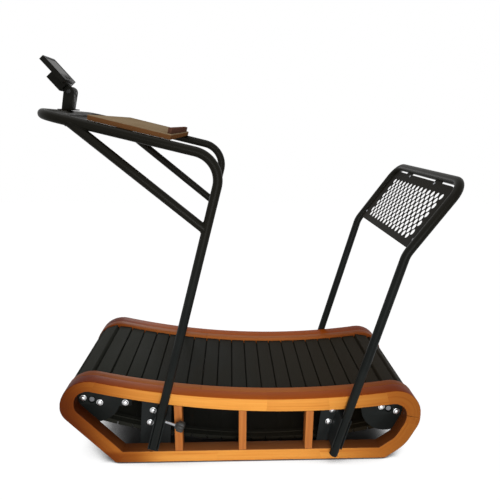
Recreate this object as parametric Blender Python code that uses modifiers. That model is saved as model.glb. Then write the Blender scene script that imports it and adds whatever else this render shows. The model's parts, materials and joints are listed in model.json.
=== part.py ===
"""Manual treadmill with a curved slat deck, wooden side frames, a rear lean hoop and a walking desk.

Metres, +Z up. The front (desk and console) is at -X, the hoop at +X, the user's left at -Y.
Heights are written from the underside of the wooden frames, and the finished model is set on its feet.
"""
import math

import bmesh
import bpy
from mathutils import Matrix, Vector

# General clearances
GAP = 0.0003
FIT = 0.0005

# Wooden side frames: outline, seen from the side
FRAME_FRONT = -0.80
FRAME_REAR = 0.80
FRONT_FOOT_X = -0.574
FRONT_KNEE_Z = 0.245
REAR_FOOT_X = 0.655
REAR_HEEL_X = 0.743
REAR_HEEL_Z = 0.066
REAR_KNEE_Z = 0.180
DECK_RADIUS = 3.647
DECK_LOW_X = 0.180
DECK_LOW_Z = 0.310
FRONT_NOSE_RADIUS = 0.130
FRONT_KNEE_RADIUS = 0.085
REAR_NOSE_RADIUS = 0.120
REAR_KNEE_RADIUS = 0.110
REAR_HEEL_RADIUS = 0.180
SOLE_RADIUS = 0.006
CURVE_START = 1.4
WINDOW_RADIUS = 0.060
WINDOW_KNEE_RADIUS = 0.045
WINDOW_SOLE_RADIUS = 0.008

# Wooden side frames: sections
HALF_WIDTH = 0.360
SIDE_DEPTH = 0.060
BOTTOM_BEAM = 0.056
END_BEAM = 0.064
TOP_BEAM_FRONT = 0.051
TOP_BEAM_REAR = 0.068
DIVIDER_WIDTH = 0.034
FRONT_DIVIDER_X = -0.288
MIDDLE_DIVIDER_X = -0.003
REAR_DIVIDER_X = 0.297
INNER_RAIL_WIDTH = 0.039
INNER_RAIL_HEIGHT = 0.032
INNER_RAIL_FRONT_Z = 0.300
INNER_RAIL_REAR_Z = 0.225
RAIL_TRIM_REACH = 0.1
RAIL_TRIM_DEPTH = 1.0

# Feet
FOOT_LENGTH = 0.050
FOOT_WIDTH = 0.040
FOOT_HEIGHT = 0.006
FOOT_INSET = 0.045

# Slat belt, its pulleys and axles
SLAT_PITCH = 0.0693
SLAT_GAP = 0.004
SLAT_THICKNESS = 0.020
SLAT_TAPER = 0.0015
SLAT_DROP = 0.011
SLAT_END_CLEARANCE = 0.004
BELT_THICKNESS = 0.005
BELT_WIDTH = 0.022
BELT_INSET = 0.084
BELT_SEAT = 0.001
PULLEY_RADIUS = 0.090
PULLEY_WIDTH = 0.030
PULLEY_RIM = 0.010
PULLEY_RECESS = 0.010
PULLEY_STEPS = 20
PULLEY_HUB_RADIUS = 0.024
PULLEY_CLEARANCE = 0.0012
AXLE_RADIUS = 0.0125
AXLE_FRONT_X = -0.678
AXLE_REAR_X = 0.674
LOWER_RUN_Z = 0.051
SLAT_PHASE = 0.055

# Steel chassis
PLATE = 0.006
SIDE_DISC_RADIUS = 0.118
DISC_INWARD = 0.011
DISC_RISE = 0.008
ARM_END_X = -0.500
ARM_HEIGHT = 0.091
ARM_BOLT_SETBACK = 0.029
ARM_BOLT_RISE = 0.016
ARM_TOP_ANGLE = 60.0
HOUSING_DEPTH = 0.022
HOUSING_RADIUS = 0.026
HOUSING_EAR_RADIUS = 0.014
HOUSING_BOLT_PITCH = 0.072
HOUSING_TILT = 0.012
HOUSING_FLANGE = 0.008
HOUSING_BOSS_RADIUS = 0.023
HOUSING_BOSS_SETBACK = 0.002
PLATE_BORE_CLEARANCE = 0.004
BOLT_HEAD_RADIUS = 0.0115
BOLT_HEAD_HEIGHT = 0.008
BOLT_CROWN_RADIUS = 0.0075
BOLT_CROWN_HEIGHT = 0.0064
BOLT_RIM_HEIGHT = 0.0016
BOLT_SINK = 0.001
RAIL_FRONT_X = -0.500
RAIL_REAR_X = 0.500
RAIL_HEIGHT = 0.062
RAIL_SETBACK = 0.002
BEARING_RADIUS = 0.013
BEARING_WIDTH = 0.018
BEARING_PITCH = 0.108
BEARING_RAIL_SPACE = 0.003
MIDDLE_CROSS_X = 0.020
CROSS_HEIGHT = 0.040
CROSS_WIDTH = 0.050
CROSS_WALL = 0.003

# Clamps that hold the uprights and the hoop
TUBE_RADIUS = 0.019
TUBE_OFFSET = 0.003
CLAMP_PLATE_BOTTOM = 0.010
CLAMP_PLATE_TOP_GAP = 0.0095
CLAMP_FOOT_FORE = 0.097
CLAMP_FOOT_AFT = 0.043
CLAMP_TOP_FORE = 0.071
CLAMP_TOP_AFT = 0.060
CLAMP_MOUTH = 0.060
CLAMP_OVERRUN = 0.050
CLAMP_WALL = 0.0045
CLAMP_LIP = 0.012
CLAMP_STOP = 0.006
CLAMP_LENGTH = 0.165
CLAMP_BOTTOM_Z = 0.088
HOOP_CLAMP_BOTTOM_Z = 0.078
HOOP_CLAMP_LENGTH = 0.150
CLAMP_BOLT_OFFSET = 0.040
CLAMP_UPPER_BOLT = 0.132
CLAMP_LOWER_BOLT = 0.069
BORE_SIDES = 32

# Lock knobs
KNOB_RADIUS = 0.024
KNOB_LENGTH = 0.040
KNOB_CROWN_RADIUS = 0.017
KNOB_NECK_RADIUS = 0.015
KNOB_GRIP_START = 0.012
KNOB_GRIP_END = 0.031
KNOB_DISTANCE = 0.072
KNOB_TURN_OUT = 12.0
KNOB_HEIGHT = 0.148
STUD_RADIUS = 0.006
STUD_GAP = 0.0012
STUD_CLEARANCE = 0.001

# Desk frame
UPRIGHT_FOOT_X = -0.422
UPRIGHT_LEAN = 0.252
DESK_BEND_X = -0.0806
DESK_SLOPE = 0.232
DESK_BEND_RADIUS = 0.110
NOSE_BAR_X = -0.768
NOSE_CORNER_RADIUS = 0.090
BRACE_LOW_Z = 1.074
BRACE_HIGH_X = -0.655
BRACE_RADIUS = 0.0185
SADDLE_LENGTH = 0.5
BOARD_FRONT_X = -0.588
BOARD_REAR_X = -0.285
BOARD_THICKNESS = 0.020
BOARD_EDGE = 0.002
BOARD_OVERHANG = 0.003
LEDGE_HEIGHT = 0.022
LEDGE_DEPTH = 0.016
LEDGE_END_INSET = 0.055
LEDGE_SETBACK = 0.006

# Console post and console
POST_DEPTH = 0.042
POST_WIDTH = 0.060
POST_LEAN = 0.215
SHOE_LENGTH = 0.070
SHOE_WIDTH = 0.090
SHOE_THICKNESS = 0.005
SHOE_EDGE = 0.0015
PIVOT_HEIGHT = 0.072
PIVOT_RADIUS = 0.005
PIVOT_HEAD_RADIUS = 0.0095
PIVOT_HEAD_THICKNESS = 0.004
KNUCKLE_RADIUS = 0.0220
KNUCKLE_CLEARANCE = 0.0015
EAR_THICKNESS = 0.009
LINK_DEPTH = 0.030
LINK_OVERLAP = 0.004
EAR_CLEARANCE = 0.0025
CONSOLE_WIDTH = 0.140
CONSOLE_HEIGHT = 0.127
CONSOLE_DEPTH = 0.022
CONSOLE_TILT = 48.4
CONSOLE_LOW_GAP = 0.010
CONSOLE_PIVOT_DEPTH = 0.033
BULGE_WIDTH = 0.084
BULGE_DEPTH = 0.036
BULGE_HIGH = 0.068
BEZEL_THICKNESS = 0.003
BEZEL_BORDER = 0.012
BEZEL_FOOT = 0.034
SCREEN_THICKNESS = 0.002
BUTTON_RADIUS = 0.006
BUTTON_HEIGHT = 0.006
BUTTON_SPACING = 0.034
BUTTON_TRAVEL = 0.0015
POCKET_MARGIN = 0.002

# Rear hoop and lean panel
HOOP_FOOT_X = 0.396
HOOP_LEAN = 0.266
HOOP_FOOT_Z = 0.045
HOOP_BEND_Z = 0.975
HOOP_TOP_X = 0.863
HOOP_TOP_Z = 1.266
HOOP_BEND_RADIUS = 0.120
HOOP_CORNER_RADIUS = 0.075
HOOP_CAP_LENGTH = 0.006
PANEL_THICKNESS = 0.003
PANEL_LOW = 0.024
PANEL_HIGH = 0.330
PANEL_CORNER = 0.055
PANEL_LOW_CORNER = 0.012
TAB_CORNER = 0.004
TAB_Y = 0.172
TAB_WIDTH = 0.072
HOLE_RADIUS = 0.0145
HOLE_PITCH = 0.0445
HOLE_ROW_PITCH = 0.0228
HOLE_ROWS = 10
HOLES_LONG_ROW = 14
HOLE_TOP_MARGIN = 0.056

# Lines that several pieces share
TUBE_Y = HALF_WIDTH + TUBE_OFFSET + TUBE_RADIUS
BELT_Y = HALF_WIDTH - SIDE_DEPTH - BELT_INSET
BOARD_HALF_WIDTH = TUBE_Y + BOARD_OVERHANG


def principled(name, color, metallic, roughness):
    material = bpy.data.materials.new(name)
    material.use_nodes = True
    shader = material.node_tree.nodes["Principled BSDF"]
    shader.inputs["Base Color"].default_value = (*color, 1.0)
    shader.inputs["Metallic"].default_value = metallic
    shader.inputs["Roughness"].default_value = roughness
    return material


def deck_z(x):
    """Height of the wooden deck edge, a shallow dish."""
    return DECK_LOW_Z + DECK_RADIUS - math.sqrt(DECK_RADIUS ** 2 - (x - DECK_LOW_X) ** 2)


def top_beam(x):
    """Depth of the top beam, which grows towards the rear."""
    share = (x - FRAME_FRONT) / (FRAME_REAR - FRAME_FRONT)
    return TOP_BEAM_FRONT + share * (TOP_BEAM_REAR - TOP_BEAM_FRONT)


def arc_points(center, radius, start, end, step):
    """Points on an arc in the XZ plane, angles in degrees."""
    count = max(1, math.ceil(abs(end - start) / step))
    points = []
    for i in range(count + 1):
        angle = math.radians(start + (end - start) * i / count)
        points.append(Vector((center.x + radius * math.cos(angle), center.y + radius * math.sin(angle))))
    return points


def fillet(corners, closed=True, step=12.0):
    """Round each (point, radius) corner of a path in two or three dimensions."""
    points = []
    count = len(corners)
    for i, (corner, radius) in enumerate(corners):
        if radius == 0.0 or (not closed and i in (0, count - 1)):
            points.append(corner.copy())
            continue
        back = (corners[i - 1][0] - corner).normalized()
        ahead = (corners[(i + 1) % count][0] - corner).normalized()
        half = back.angle(ahead) / 2
        middle = (back + ahead).normalized()
        center = corner + middle * (radius / math.sin(half))
        start = corner + back * (radius / math.tan(half)) - center
        end = corner + ahead * (radius / math.tan(half)) - center
        turn = math.pi - 2 * half
        pieces = max(1, math.ceil(math.degrees(turn) / step))
        for k in range(pieces + 1):
            share = k / pieces
            first = math.sin((1 - share) * turn) / math.sin(turn)
            second = math.sin(share * turn) / math.sin(turn)
            points.append(center + start * first + end * second)
    return points


def inset_corner(before, corner, after, depth_before, depth_after):
    """Where two neighbouring edges meet once each is moved inward by its own depth."""
    along_a = (corner - before).normalized()
    along_b = (after - corner).normalized()
    normal_a = Vector((-along_a.y, along_a.x))
    normal_b = Vector((-along_b.y, along_b.x))
    a = corner + normal_a * depth_before
    b = corner + normal_b * depth_after
    share = (b - a).dot(normal_b) / along_a.dot(normal_b)
    return a + along_a * share


def frame_edges():
    """Corners of the side frame from the front sole round below to the rear, then up to the deck."""
    lower = [Vector((FRAME_FRONT, deck_z(FRAME_FRONT))), Vector((FRAME_FRONT, FRONT_KNEE_Z)),
             Vector((FRONT_FOOT_X, 0.0)), Vector((REAR_FOOT_X, 0.0)),
             Vector((REAR_HEEL_X, REAR_HEEL_Z)), Vector((FRAME_REAR, REAR_KNEE_Z)),
             Vector((FRAME_REAR, deck_z(FRAME_REAR)))]
    return lower


def deck_samples(depth, front, rear, count=13):
    """Points below the deck edge from rear to front."""
    points = []
    for i in range(count):
        x = rear + (front - rear) * i / (count - 1)
        points.append((Vector((x, deck_z(x) - depth(x))), 0.0))
    return points


def outer_loop():
    nose, knee, sole, heel, ankle, hip, tail = frame_edges()
    corners = [(nose, FRONT_NOSE_RADIUS), (knee, FRONT_KNEE_RADIUS), (sole, SOLE_RADIUS),
               (heel, SOLE_RADIUS), (ankle, REAR_HEEL_RADIUS), (hip, REAR_KNEE_RADIUS),
               (tail, REAR_NOSE_RADIUS)]
    front = FRAME_FRONT + FRONT_NOSE_RADIUS * CURVE_START
    rear = FRAME_REAR - REAR_NOSE_RADIUS * CURVE_START
    return fillet(corners + deck_samples(lambda x: 0.0, front, rear))


def inner_loop(bottom, ends, top, radius, knee_radius, sole_radius):
    """The frame's outline moved inward by the depths of its beams."""
    edges = frame_edges()
    depths = [ends, ends, bottom, ends, ends, ends]
    moved = []
    for i in range(1, len(edges) - 1):
        moved.append(inset_corner(edges[i - 1], edges[i], edges[i + 1], depths[i - 1], depths[i]))
    front = FRAME_FRONT + ends
    rear = FRAME_REAR - ends
    nose = Vector((front, deck_z(front) - top(front)))
    tail = Vector((rear, deck_z(rear) - top(rear)))
    corners = [(nose, radius), (moved[0], knee_radius), (moved[1], sole_radius), (moved[2], sole_radius),
               (moved[3], knee_radius), (moved[4], knee_radius), (tail, radius)]
    reach = radius * CURVE_START
    return fillet(corners + deck_samples(top, front + reach, rear - reach))


class Workshop:
    """Makes named pieces and keeps them in the model's collections."""

    def __init__(self):
        self.pieces = bpy.data.collections.new("treadmill_desk")
        self.cutters = bpy.data.collections.new("treadmill_desk_cutters")
        bpy.context.scene.collection.children.link(self.pieces)
        bpy.context.scene.collection.children.link(self.cutters)

    def adopt(self, obj, name, material=None, cutter=False):
        obj.name = name
        obj.data.name = name
        for collection in list(obj.users_collection):
            collection.objects.unlink(obj)
        (self.cutters if cutter else self.pieces).objects.link(obj)
        if material is not None:
            obj.data.materials.clear()
            obj.data.materials.append(material)
        if cutter:
            obj.hide_render = True
            obj.display_type = "WIRE"
        return obj

    def box(self, name, size, location, material=None, turn=0.0, bevel=0.0, cutter=False):
        bpy.ops.mesh.primitive_cube_add(size=1.0, location=location)
        obj = bpy.context.object
        obj.data.transform(Matrix.Diagonal((*size, 1.0)))
        obj.rotation_euler = (0.0, turn, 0.0)
        self.adopt(obj, name, material, cutter)
        if bevel > 0.0:
            self.soften(obj, bevel)
        return obj

    def rod(self, name, radius, length, location, axis, material=None, sides=24, cutter=False):
        bpy.ops.mesh.primitive_cylinder_add(vertices=sides, radius=radius, depth=length, location=location)
        obj = bpy.context.object
        obj.rotation_euler = Vector(axis).to_track_quat("Z", "Y").to_euler()
        obj.data.shade_smooth()
        obj.data.set_sharp_from_angle(angle=math.radians(35))
        return self.adopt(obj, name, material, cutter)

    def turned(self, name, profile, location, axis, material=None, steps=24, ring=False, cutter=False):
        """A profile of (radius, height) points from the top down its outer side, turned about an axis."""
        mesh = bpy.data.meshes.new(name)
        points = [(radius, 0.0, height) for radius, height in profile]
        edges = [(i, i + 1) for i in range(len(points) - 1)]
        if ring:
            edges.append((len(points) - 1, 0))
        mesh.from_pydata(points, edges, [])
        obj = bpy.data.objects.new(name, mesh)
        bpy.context.scene.collection.objects.link(obj)
        self.adopt(obj, name, material, cutter)
        screw = obj.modifiers.new("turn", "SCREW")
        screw.steps = steps
        screw.render_steps = steps
        screw.use_merge_vertices = True
        screw.merge_threshold = 0.00005
        screw.use_smooth_shade = True
        obj.location = location
        obj.rotation_euler = Vector(axis).to_track_quat("Z", "Y").to_euler()
        return obj

    def sheet(self, name, loops, y, thickness, material=None, cutter=False):
        """A flat outline in the XZ plane, given thickness along Y, as a closed mesh."""
        curve = bpy.data.curves.new(name, "CURVE")
        curve.dimensions = "2D"
        curve.fill_mode = "BOTH"
        curve.extrude = thickness / 2
        for loop in loops:
            spline = curve.splines.new("POLY")
            spline.points.add(len(loop) - 1)
            for point, place in zip(spline.points, loop):
                point.co = (place.x, place.y, 0.0, 1.0)
            spline.use_cyclic_u = True
        obj = bpy.data.objects.new(name, curve)
        obj.location = (0.0, y, 0.0)
        obj.rotation_euler = (math.pi / 2, 0.0, 0.0)
        return self.solid(obj, name, material, cutter)

    def solid(self, obj, name, material=None, cutter=False):
        """Turn a curve object into a mesh object with welded caps."""
        bpy.context.scene.collection.objects.link(obj)
        bpy.context.view_layer.update()
        mesh = bpy.data.meshes.new_from_object(obj.evaluated_get(bpy.context.evaluated_depsgraph_get()))
        shape = bmesh.new()
        shape.from_mesh(mesh)
        bmesh.ops.remove_doubles(shape, verts=shape.verts, dist=0.00002)
        bmesh.ops.recalc_face_normals(shape, faces=shape.faces)
        shape.to_mesh(mesh)
        shape.free()
        made = bpy.data.objects.new(name, mesh)
        bpy.context.scene.collection.objects.link(made)
        made.matrix_world = obj.matrix_world.copy()
        bpy.data.objects.remove(obj)
        mesh.shade_smooth()
        mesh.set_sharp_from_angle(angle=math.radians(35))
        return self.adopt(made, name, material, cutter)

    def pipe(self, name, points, radius, material=None, resolution=4):
        """A round tube along a path."""
        curve = bpy.data.curves.new(name, "CURVE")
        curve.dimensions = "3D"
        curve.bevel_depth = radius
        curve.bevel_resolution = resolution
        curve.use_fill_caps = True
        spline = curve.splines.new("POLY")
        spline.points.add(len(points) - 1)
        for point, place in zip(spline.points, points):
            point.co = (*place, 1.0)
        return self.solid(bpy.data.objects.new(name, curve), name, material)

    def soften(self, obj, width, segments=2):
        bevel = obj.modifiers.new("soft edge", "BEVEL")
        bevel.width = width
        bevel.segments = segments
        bevel.limit_method = "ANGLE"
        bevel.angle_limit = math.radians(40)
        return obj

    def combine(self, obj, other, operation):
        boolean = obj.modifiers.new(operation.lower(), "BOOLEAN")
        boolean.operation = operation
        boolean.solver = "EXACT"
        boolean.object = other
        return obj

    def cut(self, obj, cutter):
        return self.combine(obj, cutter, "DIFFERENCE")

    def fuse(self, obj, other):
        return self.combine(obj, other, "UNION")


SIDES = (("left", -1), ("right", 1))


def build_side_frames(shop, wood):
    outer = outer_loop()
    window = inner_loop(BOTTOM_BEAM, END_BEAM, top_beam, WINDOW_RADIUS, WINDOW_KNEE_RADIUS, WINDOW_SOLE_RADIUS)
    middle = HALF_WIDTH - SIDE_DEPTH / 2
    for side, sign in SIDES:
        shop.sheet(f"{side}_side_frame", [outer, window], sign * middle, SIDE_DEPTH, wood)
        places = (("front", FRONT_DIVIDER_X), ("middle", MIDDLE_DIVIDER_X), ("rear", REAR_DIVIDER_X))
        for place, x in places:
            edges = (x - DIVIDER_WIDTH / 2, x, x + DIVIDER_WIDTH / 2)
            top = [Vector((at, deck_z(at) - top_beam(at) - 2 * GAP)) for at in reversed(edges)]
            foot = [Vector((edges[0], BOTTOM_BEAM + GAP)), Vector((edges[2], BOTTOM_BEAM + GAP))]
            shop.sheet(f"{side}_{place}_divider", [foot + top], sign * middle, SIDE_DEPTH, wood)


def rail_trim(shop):
    """The space below the line from the front end of an inner rail to its rear end."""
    front = Vector((FRAME_FRONT - RAIL_TRIM_REACH, INNER_RAIL_FRONT_Z))
    rear = Vector((FRAME_REAR + RAIL_TRIM_REACH, INNER_RAIL_REAR_Z))
    low = Vector((0.0, -RAIL_TRIM_DEPTH))
    width = 2 * HALF_WIDTH + RAIL_TRIM_REACH
    return shop.sheet("inner_rail_trim", [[front + low, rear + low, rear, front]], 0.0, width, cutter=True)


def inner_rail_inset(extra):
    depth = INNER_RAIL_HEIGHT + extra
    return inner_loop(depth, depth, lambda x: depth, FRONT_NOSE_RADIUS - depth, FRONT_KNEE_RADIUS - depth,
                      SOLE_RADIUS)


def build_inner_rails(shop, wood):
    """Wooden rails inside the side frames that widen the deck edge to a hand's breadth."""
    trim = rail_trim(shop)
    thickness = INNER_RAIL_WIDTH - GAP
    y = HALF_WIDTH - SIDE_DEPTH - GAP - thickness / 2
    for side, sign in SIDES:
        rail = shop.sheet(f"{side}_inner_rail", [outer_loop(), inner_rail_inset(0.0)], sign * y, thickness, wood)
        shop.cut(rail, trim)


def build_feet(shop, rubber):
    y = HALF_WIDTH - SIDE_DEPTH / 2
    ends = (("front", FRONT_FOOT_X + FOOT_INSET), ("rear", REAR_FOOT_X - FOOT_INSET))
    for end, x in ends:
        for side, sign in SIDES:
            place = (x, sign * y, -GAP - FOOT_HEIGHT / 2)
            shop.box(f"{end}_{side}_foot", (FOOT_LENGTH, FOOT_WIDTH, FOOT_HEIGHT), place, rubber)


class BeltPath:
    """The closed line of the slats' inner faces: the dished deck, two wraps and a hanging lower run."""

    def __init__(self):
        self.wrap = PULLEY_RADIUS + PULLEY_CLEARANCE + BELT_THICKNESS
        self.top_center = Vector((DECK_LOW_X, DECK_LOW_Z + DECK_RADIUS))
        self.top_radius = DECK_RADIUS + SLAT_DROP + SLAT_THICKNESS
        self.front = self.axle(AXLE_FRONT_X)
        self.rear = self.axle(AXLE_REAR_X)
        between = self.rear - self.front
        middle = (self.front + self.rear) / 2
        half = between.length / 2
        sag = middle.y - LOWER_RUN_Z - self.wrap
        reach = (half ** 2 + sag ** 2) / (2 * sag)
        upward = Vector((-between.y, between.x)).normalized()
        self.low_center = middle + upward * (reach - sag)
        self.low_radius = reach + self.wrap

    def axle(self, x):
        """The axle whose wrap meets the dished deck smoothly."""
        reach = self.top_radius + self.wrap
        return Vector((x, self.top_center.y - math.sqrt(reach ** 2 - (x - self.top_center.x) ** 2)))

    def angles(self):
        def heading(center, point):
            return math.degrees(math.atan2(point.y - center.y, point.x - center.x))
        top_front = heading(self.top_center, self.front)
        top_rear = heading(self.top_center, self.rear)
        low_front = heading(self.low_center, self.front)
        low_rear = heading(self.low_center, self.rear)
        return top_front, top_rear, low_front, low_rear

    def pieces(self):
        """Arcs in running order, as (center, radius, start angle, end angle, outward sign)."""
        top_front, top_rear, low_front, low_rear = self.angles()
        return [(self.top_center, self.top_radius, top_front, top_rear, -1.0),
                (self.rear, self.wrap, top_rear + 180.0, low_rear, 1.0),
                (self.low_center, self.low_radius, low_rear, low_front, 1.0),
                (self.front, self.wrap, low_front + 360.0, top_front + 180.0, 1.0)]

    def lengths(self):
        return [abs(math.radians(end - start)) * radius for _, radius, start, end, _ in self.pieces()]

    def at(self, distance):
        """Point and outward direction at a distance along the path."""
        for (center, radius, start, end, outward), length in zip(self.pieces(), self.lengths()):
            if distance <= length:
                angle = math.radians(start + (end - start) * distance / length)
                spoke = Vector((math.cos(angle), math.sin(angle)))
                return center + spoke * radius, spoke * outward
            distance -= length
        return self.at(distance)

    def loop(self, offset, pitch, count):
        """The path moved outward by an offset, with a point between each two slats and more on the wraps."""
        lengths = self.lengths()
        wraps = ((lengths[0], lengths[0] + lengths[1]), (sum(lengths[:3]), sum(lengths)))
        points = []
        for i in range(count * 3):
            distance = SLAT_PHASE + i * pitch / 3
            on_wrap = any(start - pitch / 2 < distance < end + pitch / 2 for start, end in wraps)
            if i % 3 == 0 or on_wrap:
                point, outward = self.at(distance)
                points.append(point + outward * offset)
        return points


def build_slat_belt(shop, path, rubber):
    """Slats on two endless belts."""
    total = sum(path.lengths())
    count = round(total / SLAT_PITCH)
    pitch = total / count
    half_length = HALF_WIDTH - SIDE_DEPTH - INNER_RAIL_WIDTH - SLAT_END_CLEARANCE
    half = (pitch - SLAT_GAP) / 2
    section = [(-half, 0.0), (half, 0.0), (half - SLAT_TAPER, SLAT_THICKNESS), (SLAT_TAPER - half, SLAT_THICKNESS)]
    shape = bmesh.new()
    for i in range(count):
        point, outward = path.at(SLAT_PHASE + (i + 0.5) * pitch)
        along = Vector((outward.y, -outward.x))
        ring = []
        for run, rise in section:
            place = point + along * run + outward * rise
            ring.append(shape.verts.new((place.x, -half_length, place.y)))
        face = shape.faces.new(ring)
        grown = bmesh.ops.extrude_face_region(shape, geom=[face])
        moved = [item for item in grown["geom"] if isinstance(item, bmesh.types.BMVert)]
        bmesh.ops.translate(shape, verts=moved, vec=(0.0, 2 * half_length, 0.0))
    bmesh.ops.recalc_face_normals(shape, faces=shape.faces)
    mesh = bpy.data.meshes.new("slat_belt")
    shape.to_mesh(mesh)
    shape.free()
    slats = bpy.data.objects.new("slat_belt", mesh)
    bpy.context.scene.collection.objects.link(slats)
    shop.adopt(slats, "slat_belt", rubber)
    for side, sign in SIDES:
        loops = [path.loop(BELT_SEAT, pitch, count), path.loop(-BELT_THICKNESS, pitch, count)]
        belt = shop.sheet(f"{side}_belt_band", loops, sign * BELT_Y, BELT_WIDTH, rubber, cutter=True)
        shop.fuse(slats, belt)


def build_axles(shop, path, steel, dark):
    """Each axle turns with its two belt pulleys."""
    inner_face = HALF_WIDTH - SIDE_DEPTH - PLATE - 2 * GAP
    for end, center in (("front", path.front), ("rear", path.rear)):
        place = (center.x, 0.0, center.y)
        shop.rod(f"{end}_axle", AXLE_RADIUS, 2 * (inner_face - GAP), place, (0, 1, 0), steel, sides=20)
        bore = AXLE_RADIUS / math.cos(math.pi / PULLEY_STEPS) + GAP
        half = PULLEY_WIDTH / 2
        web = half - PULLEY_RECESS
        rim = PULLEY_RADIUS - PULLEY_RIM
        profile = [(bore, half), (PULLEY_HUB_RADIUS, half), (PULLEY_HUB_RADIUS, web), (rim, web), (rim, half),
                   (PULLEY_RADIUS, half), (PULLEY_RADIUS, -half), (bore, -half)]
        for side, sign in SIDES:
            at = (center.x, sign * BELT_Y, center.y)
            shop.turned(f"{end}_{side}_pulley", profile, at, (0, -sign, 0), dark, steps=PULLEY_STEPS, ring=True)


def bolt_head(shop, name, x, z, face_y, sign, chrome):
    """A domed bolt head on an outer face, to be fused with the piece under it."""
    profile = [(0.0, BOLT_HEAD_HEIGHT), (BOLT_CROWN_RADIUS, BOLT_CROWN_HEIGHT), (BOLT_HEAD_RADIUS, BOLT_RIM_HEIGHT),
               (BOLT_HEAD_RADIUS, -BOLT_SINK), (0.0, -BOLT_SINK)]
    return shop.turned(name, profile, (x, sign * face_y, z), (0, sign, 0), chrome, steps=8, cutter=True)


def reach_to(outline, start, spoke):
    """Distance from a place along a direction to the outline round it."""
    reaches = []
    for a, b in zip(outline, outline[1:] + outline[:1]):
        edge = b - a
        to = a - start
        slant = spoke.x * edge.y - spoke.y * edge.x
        if abs(slant) > 1e-9:
            reach = (to.x * edge.y - to.y * edge.x) / slant
            share = (to.x * spoke.y - to.y * spoke.x) / slant
            if 0.0 <= share <= 1.0 and reach > 0.0:
                reaches.append(reach)
    return min(reaches)


def disc_points(center, limit, start, end, step=12.0):
    """An arc of a side disc, kept inside the frame's inner line."""
    points = []
    for place in arc_points(center, SIDE_DISC_RADIUS, start, end, step):
        spoke = (place - center).normalized()
        points.append(center + spoke * min(SIDE_DISC_RADIUS, reach_to(limit, center, spoke)))
    return points


def build_side_plates(shop, path, steel, chrome):
    """Round steel plates behind the windows that carry the axle bearings."""
    outer_face = HALF_WIDTH - SIDE_DEPTH - GAP
    y = outer_face - PLATE / 2
    limit = inner_rail_inset(2 * GAP)
    arm_low = deck_z(ARM_END_X) - INNER_RAIL_HEIGHT - ARM_HEIGHT
    for end, center, inward in (("front", path.front, 1), ("rear", path.rear, -1)):
        disc = center + Vector((inward * DISC_INWARD, DISC_RISE))
        outline = disc_points(disc, limit, 0.0, 348.0)
        if end == "front":
            meet = math.degrees(math.asin((arm_low - disc.y) / SIDE_DISC_RADIUS))
            outline = disc_points(disc, limit, ARM_TOP_ANGLE, 360.0 + meet)
            outline.append(Vector((ARM_END_X, arm_low)))
            for share in (1.0, 0.5):
                x = outline[0].x + share * (ARM_END_X - outline[0].x)
                outline.append(Vector((x, deck_z(x) - INNER_RAIL_HEIGHT - 4 * GAP)))
        for side, sign in SIDES:
            plate = shop.sheet(f"{end}_{side}_side_plate", [outline], sign * y, PLATE, steel)
            bore = shop.rod(f"{end}_{side}_plate_bore", AXLE_RADIUS + PLATE_BORE_CLEARANCE, 4 * PLATE,
                            (center.x, sign * y, center.y), (0, 1, 0), sides=16, cutter=True)
            shop.cut(plate, bore)
            for mark, run in (("fore", -1), ("aft", 1)):
                x = center.x + run * HOUSING_BOLT_PITCH / 2
                z = center.y - run * HOUSING_TILT
                shop.fuse(plate, bolt_head(shop, f"{end}_{side}_{mark}_bolt", x, z, outer_face, sign, chrome))
            if end == "front":
                x = ARM_END_X - ARM_BOLT_SETBACK
                z = arm_low + ARM_BOLT_RISE
                shop.fuse(plate, bolt_head(shop, f"{side}_arm_bolt", x, z, outer_face, sign, chrome))


def build_bearing_housings(shop, path, iron):
    """Two-eared flange bearings on the inner faces of the side plates."""
    face = HALF_WIDTH - SIDE_DEPTH - PLATE - 2 * GAP
    for end, center in (("front", path.front), ("rear", path.rear)):
        reach = HOUSING_BOLT_PITCH / 2
        tilt = Vector((reach, -HOUSING_TILT))
        ears = []
        for ear, facing in ((tilt, 0.0), (-tilt, 180.0)):
            ears += arc_points(center + ear, HOUSING_EAR_RADIUS, facing - 70.0, facing + 70.0, 35.0)
            crown = center + Vector((0.0, HOUSING_RADIUS if facing == 0.0 else -HOUSING_RADIUS))
            ears.append(crown)
        for side, sign in SIDES:
            flange = shop.sheet(f"{end}_{side}_bearing_housing", [ears], sign * (face - HOUSING_FLANGE / 2),
                                HOUSING_FLANGE, iron)
            boss_length = HOUSING_DEPTH - HOUSING_BOSS_SETBACK
            at = Vector((center.x, sign * (face - HOUSING_DEPTH + boss_length / 2), center.y))
            boss = shop.rod(f"{end}_{side}_housing_boss", HOUSING_BOSS_RADIUS, boss_length, at, (0, 1, 0), iron,
                            sides=16, cutter=True)
            shop.fuse(flange, boss)
            bore = shop.rod(f"{end}_{side}_housing_bore", AXLE_RADIUS + 2 * FIT, 4 * HOUSING_DEPTH, at,
                            (0, 1, 0), sides=16, cutter=True)
            shop.cut(flange, bore)


def bearing_line(x):
    """Height of the bearing centres under the belts."""
    return deck_z(x) - SLAT_DROP - SLAT_THICKNESS - BELT_THICKNESS - 2 * GAP - BEARING_RADIUS


def rail_bottom(x):
    return bearing_line(x) + BEARING_RADIUS - RAIL_SETBACK - RAIL_HEIGHT


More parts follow.
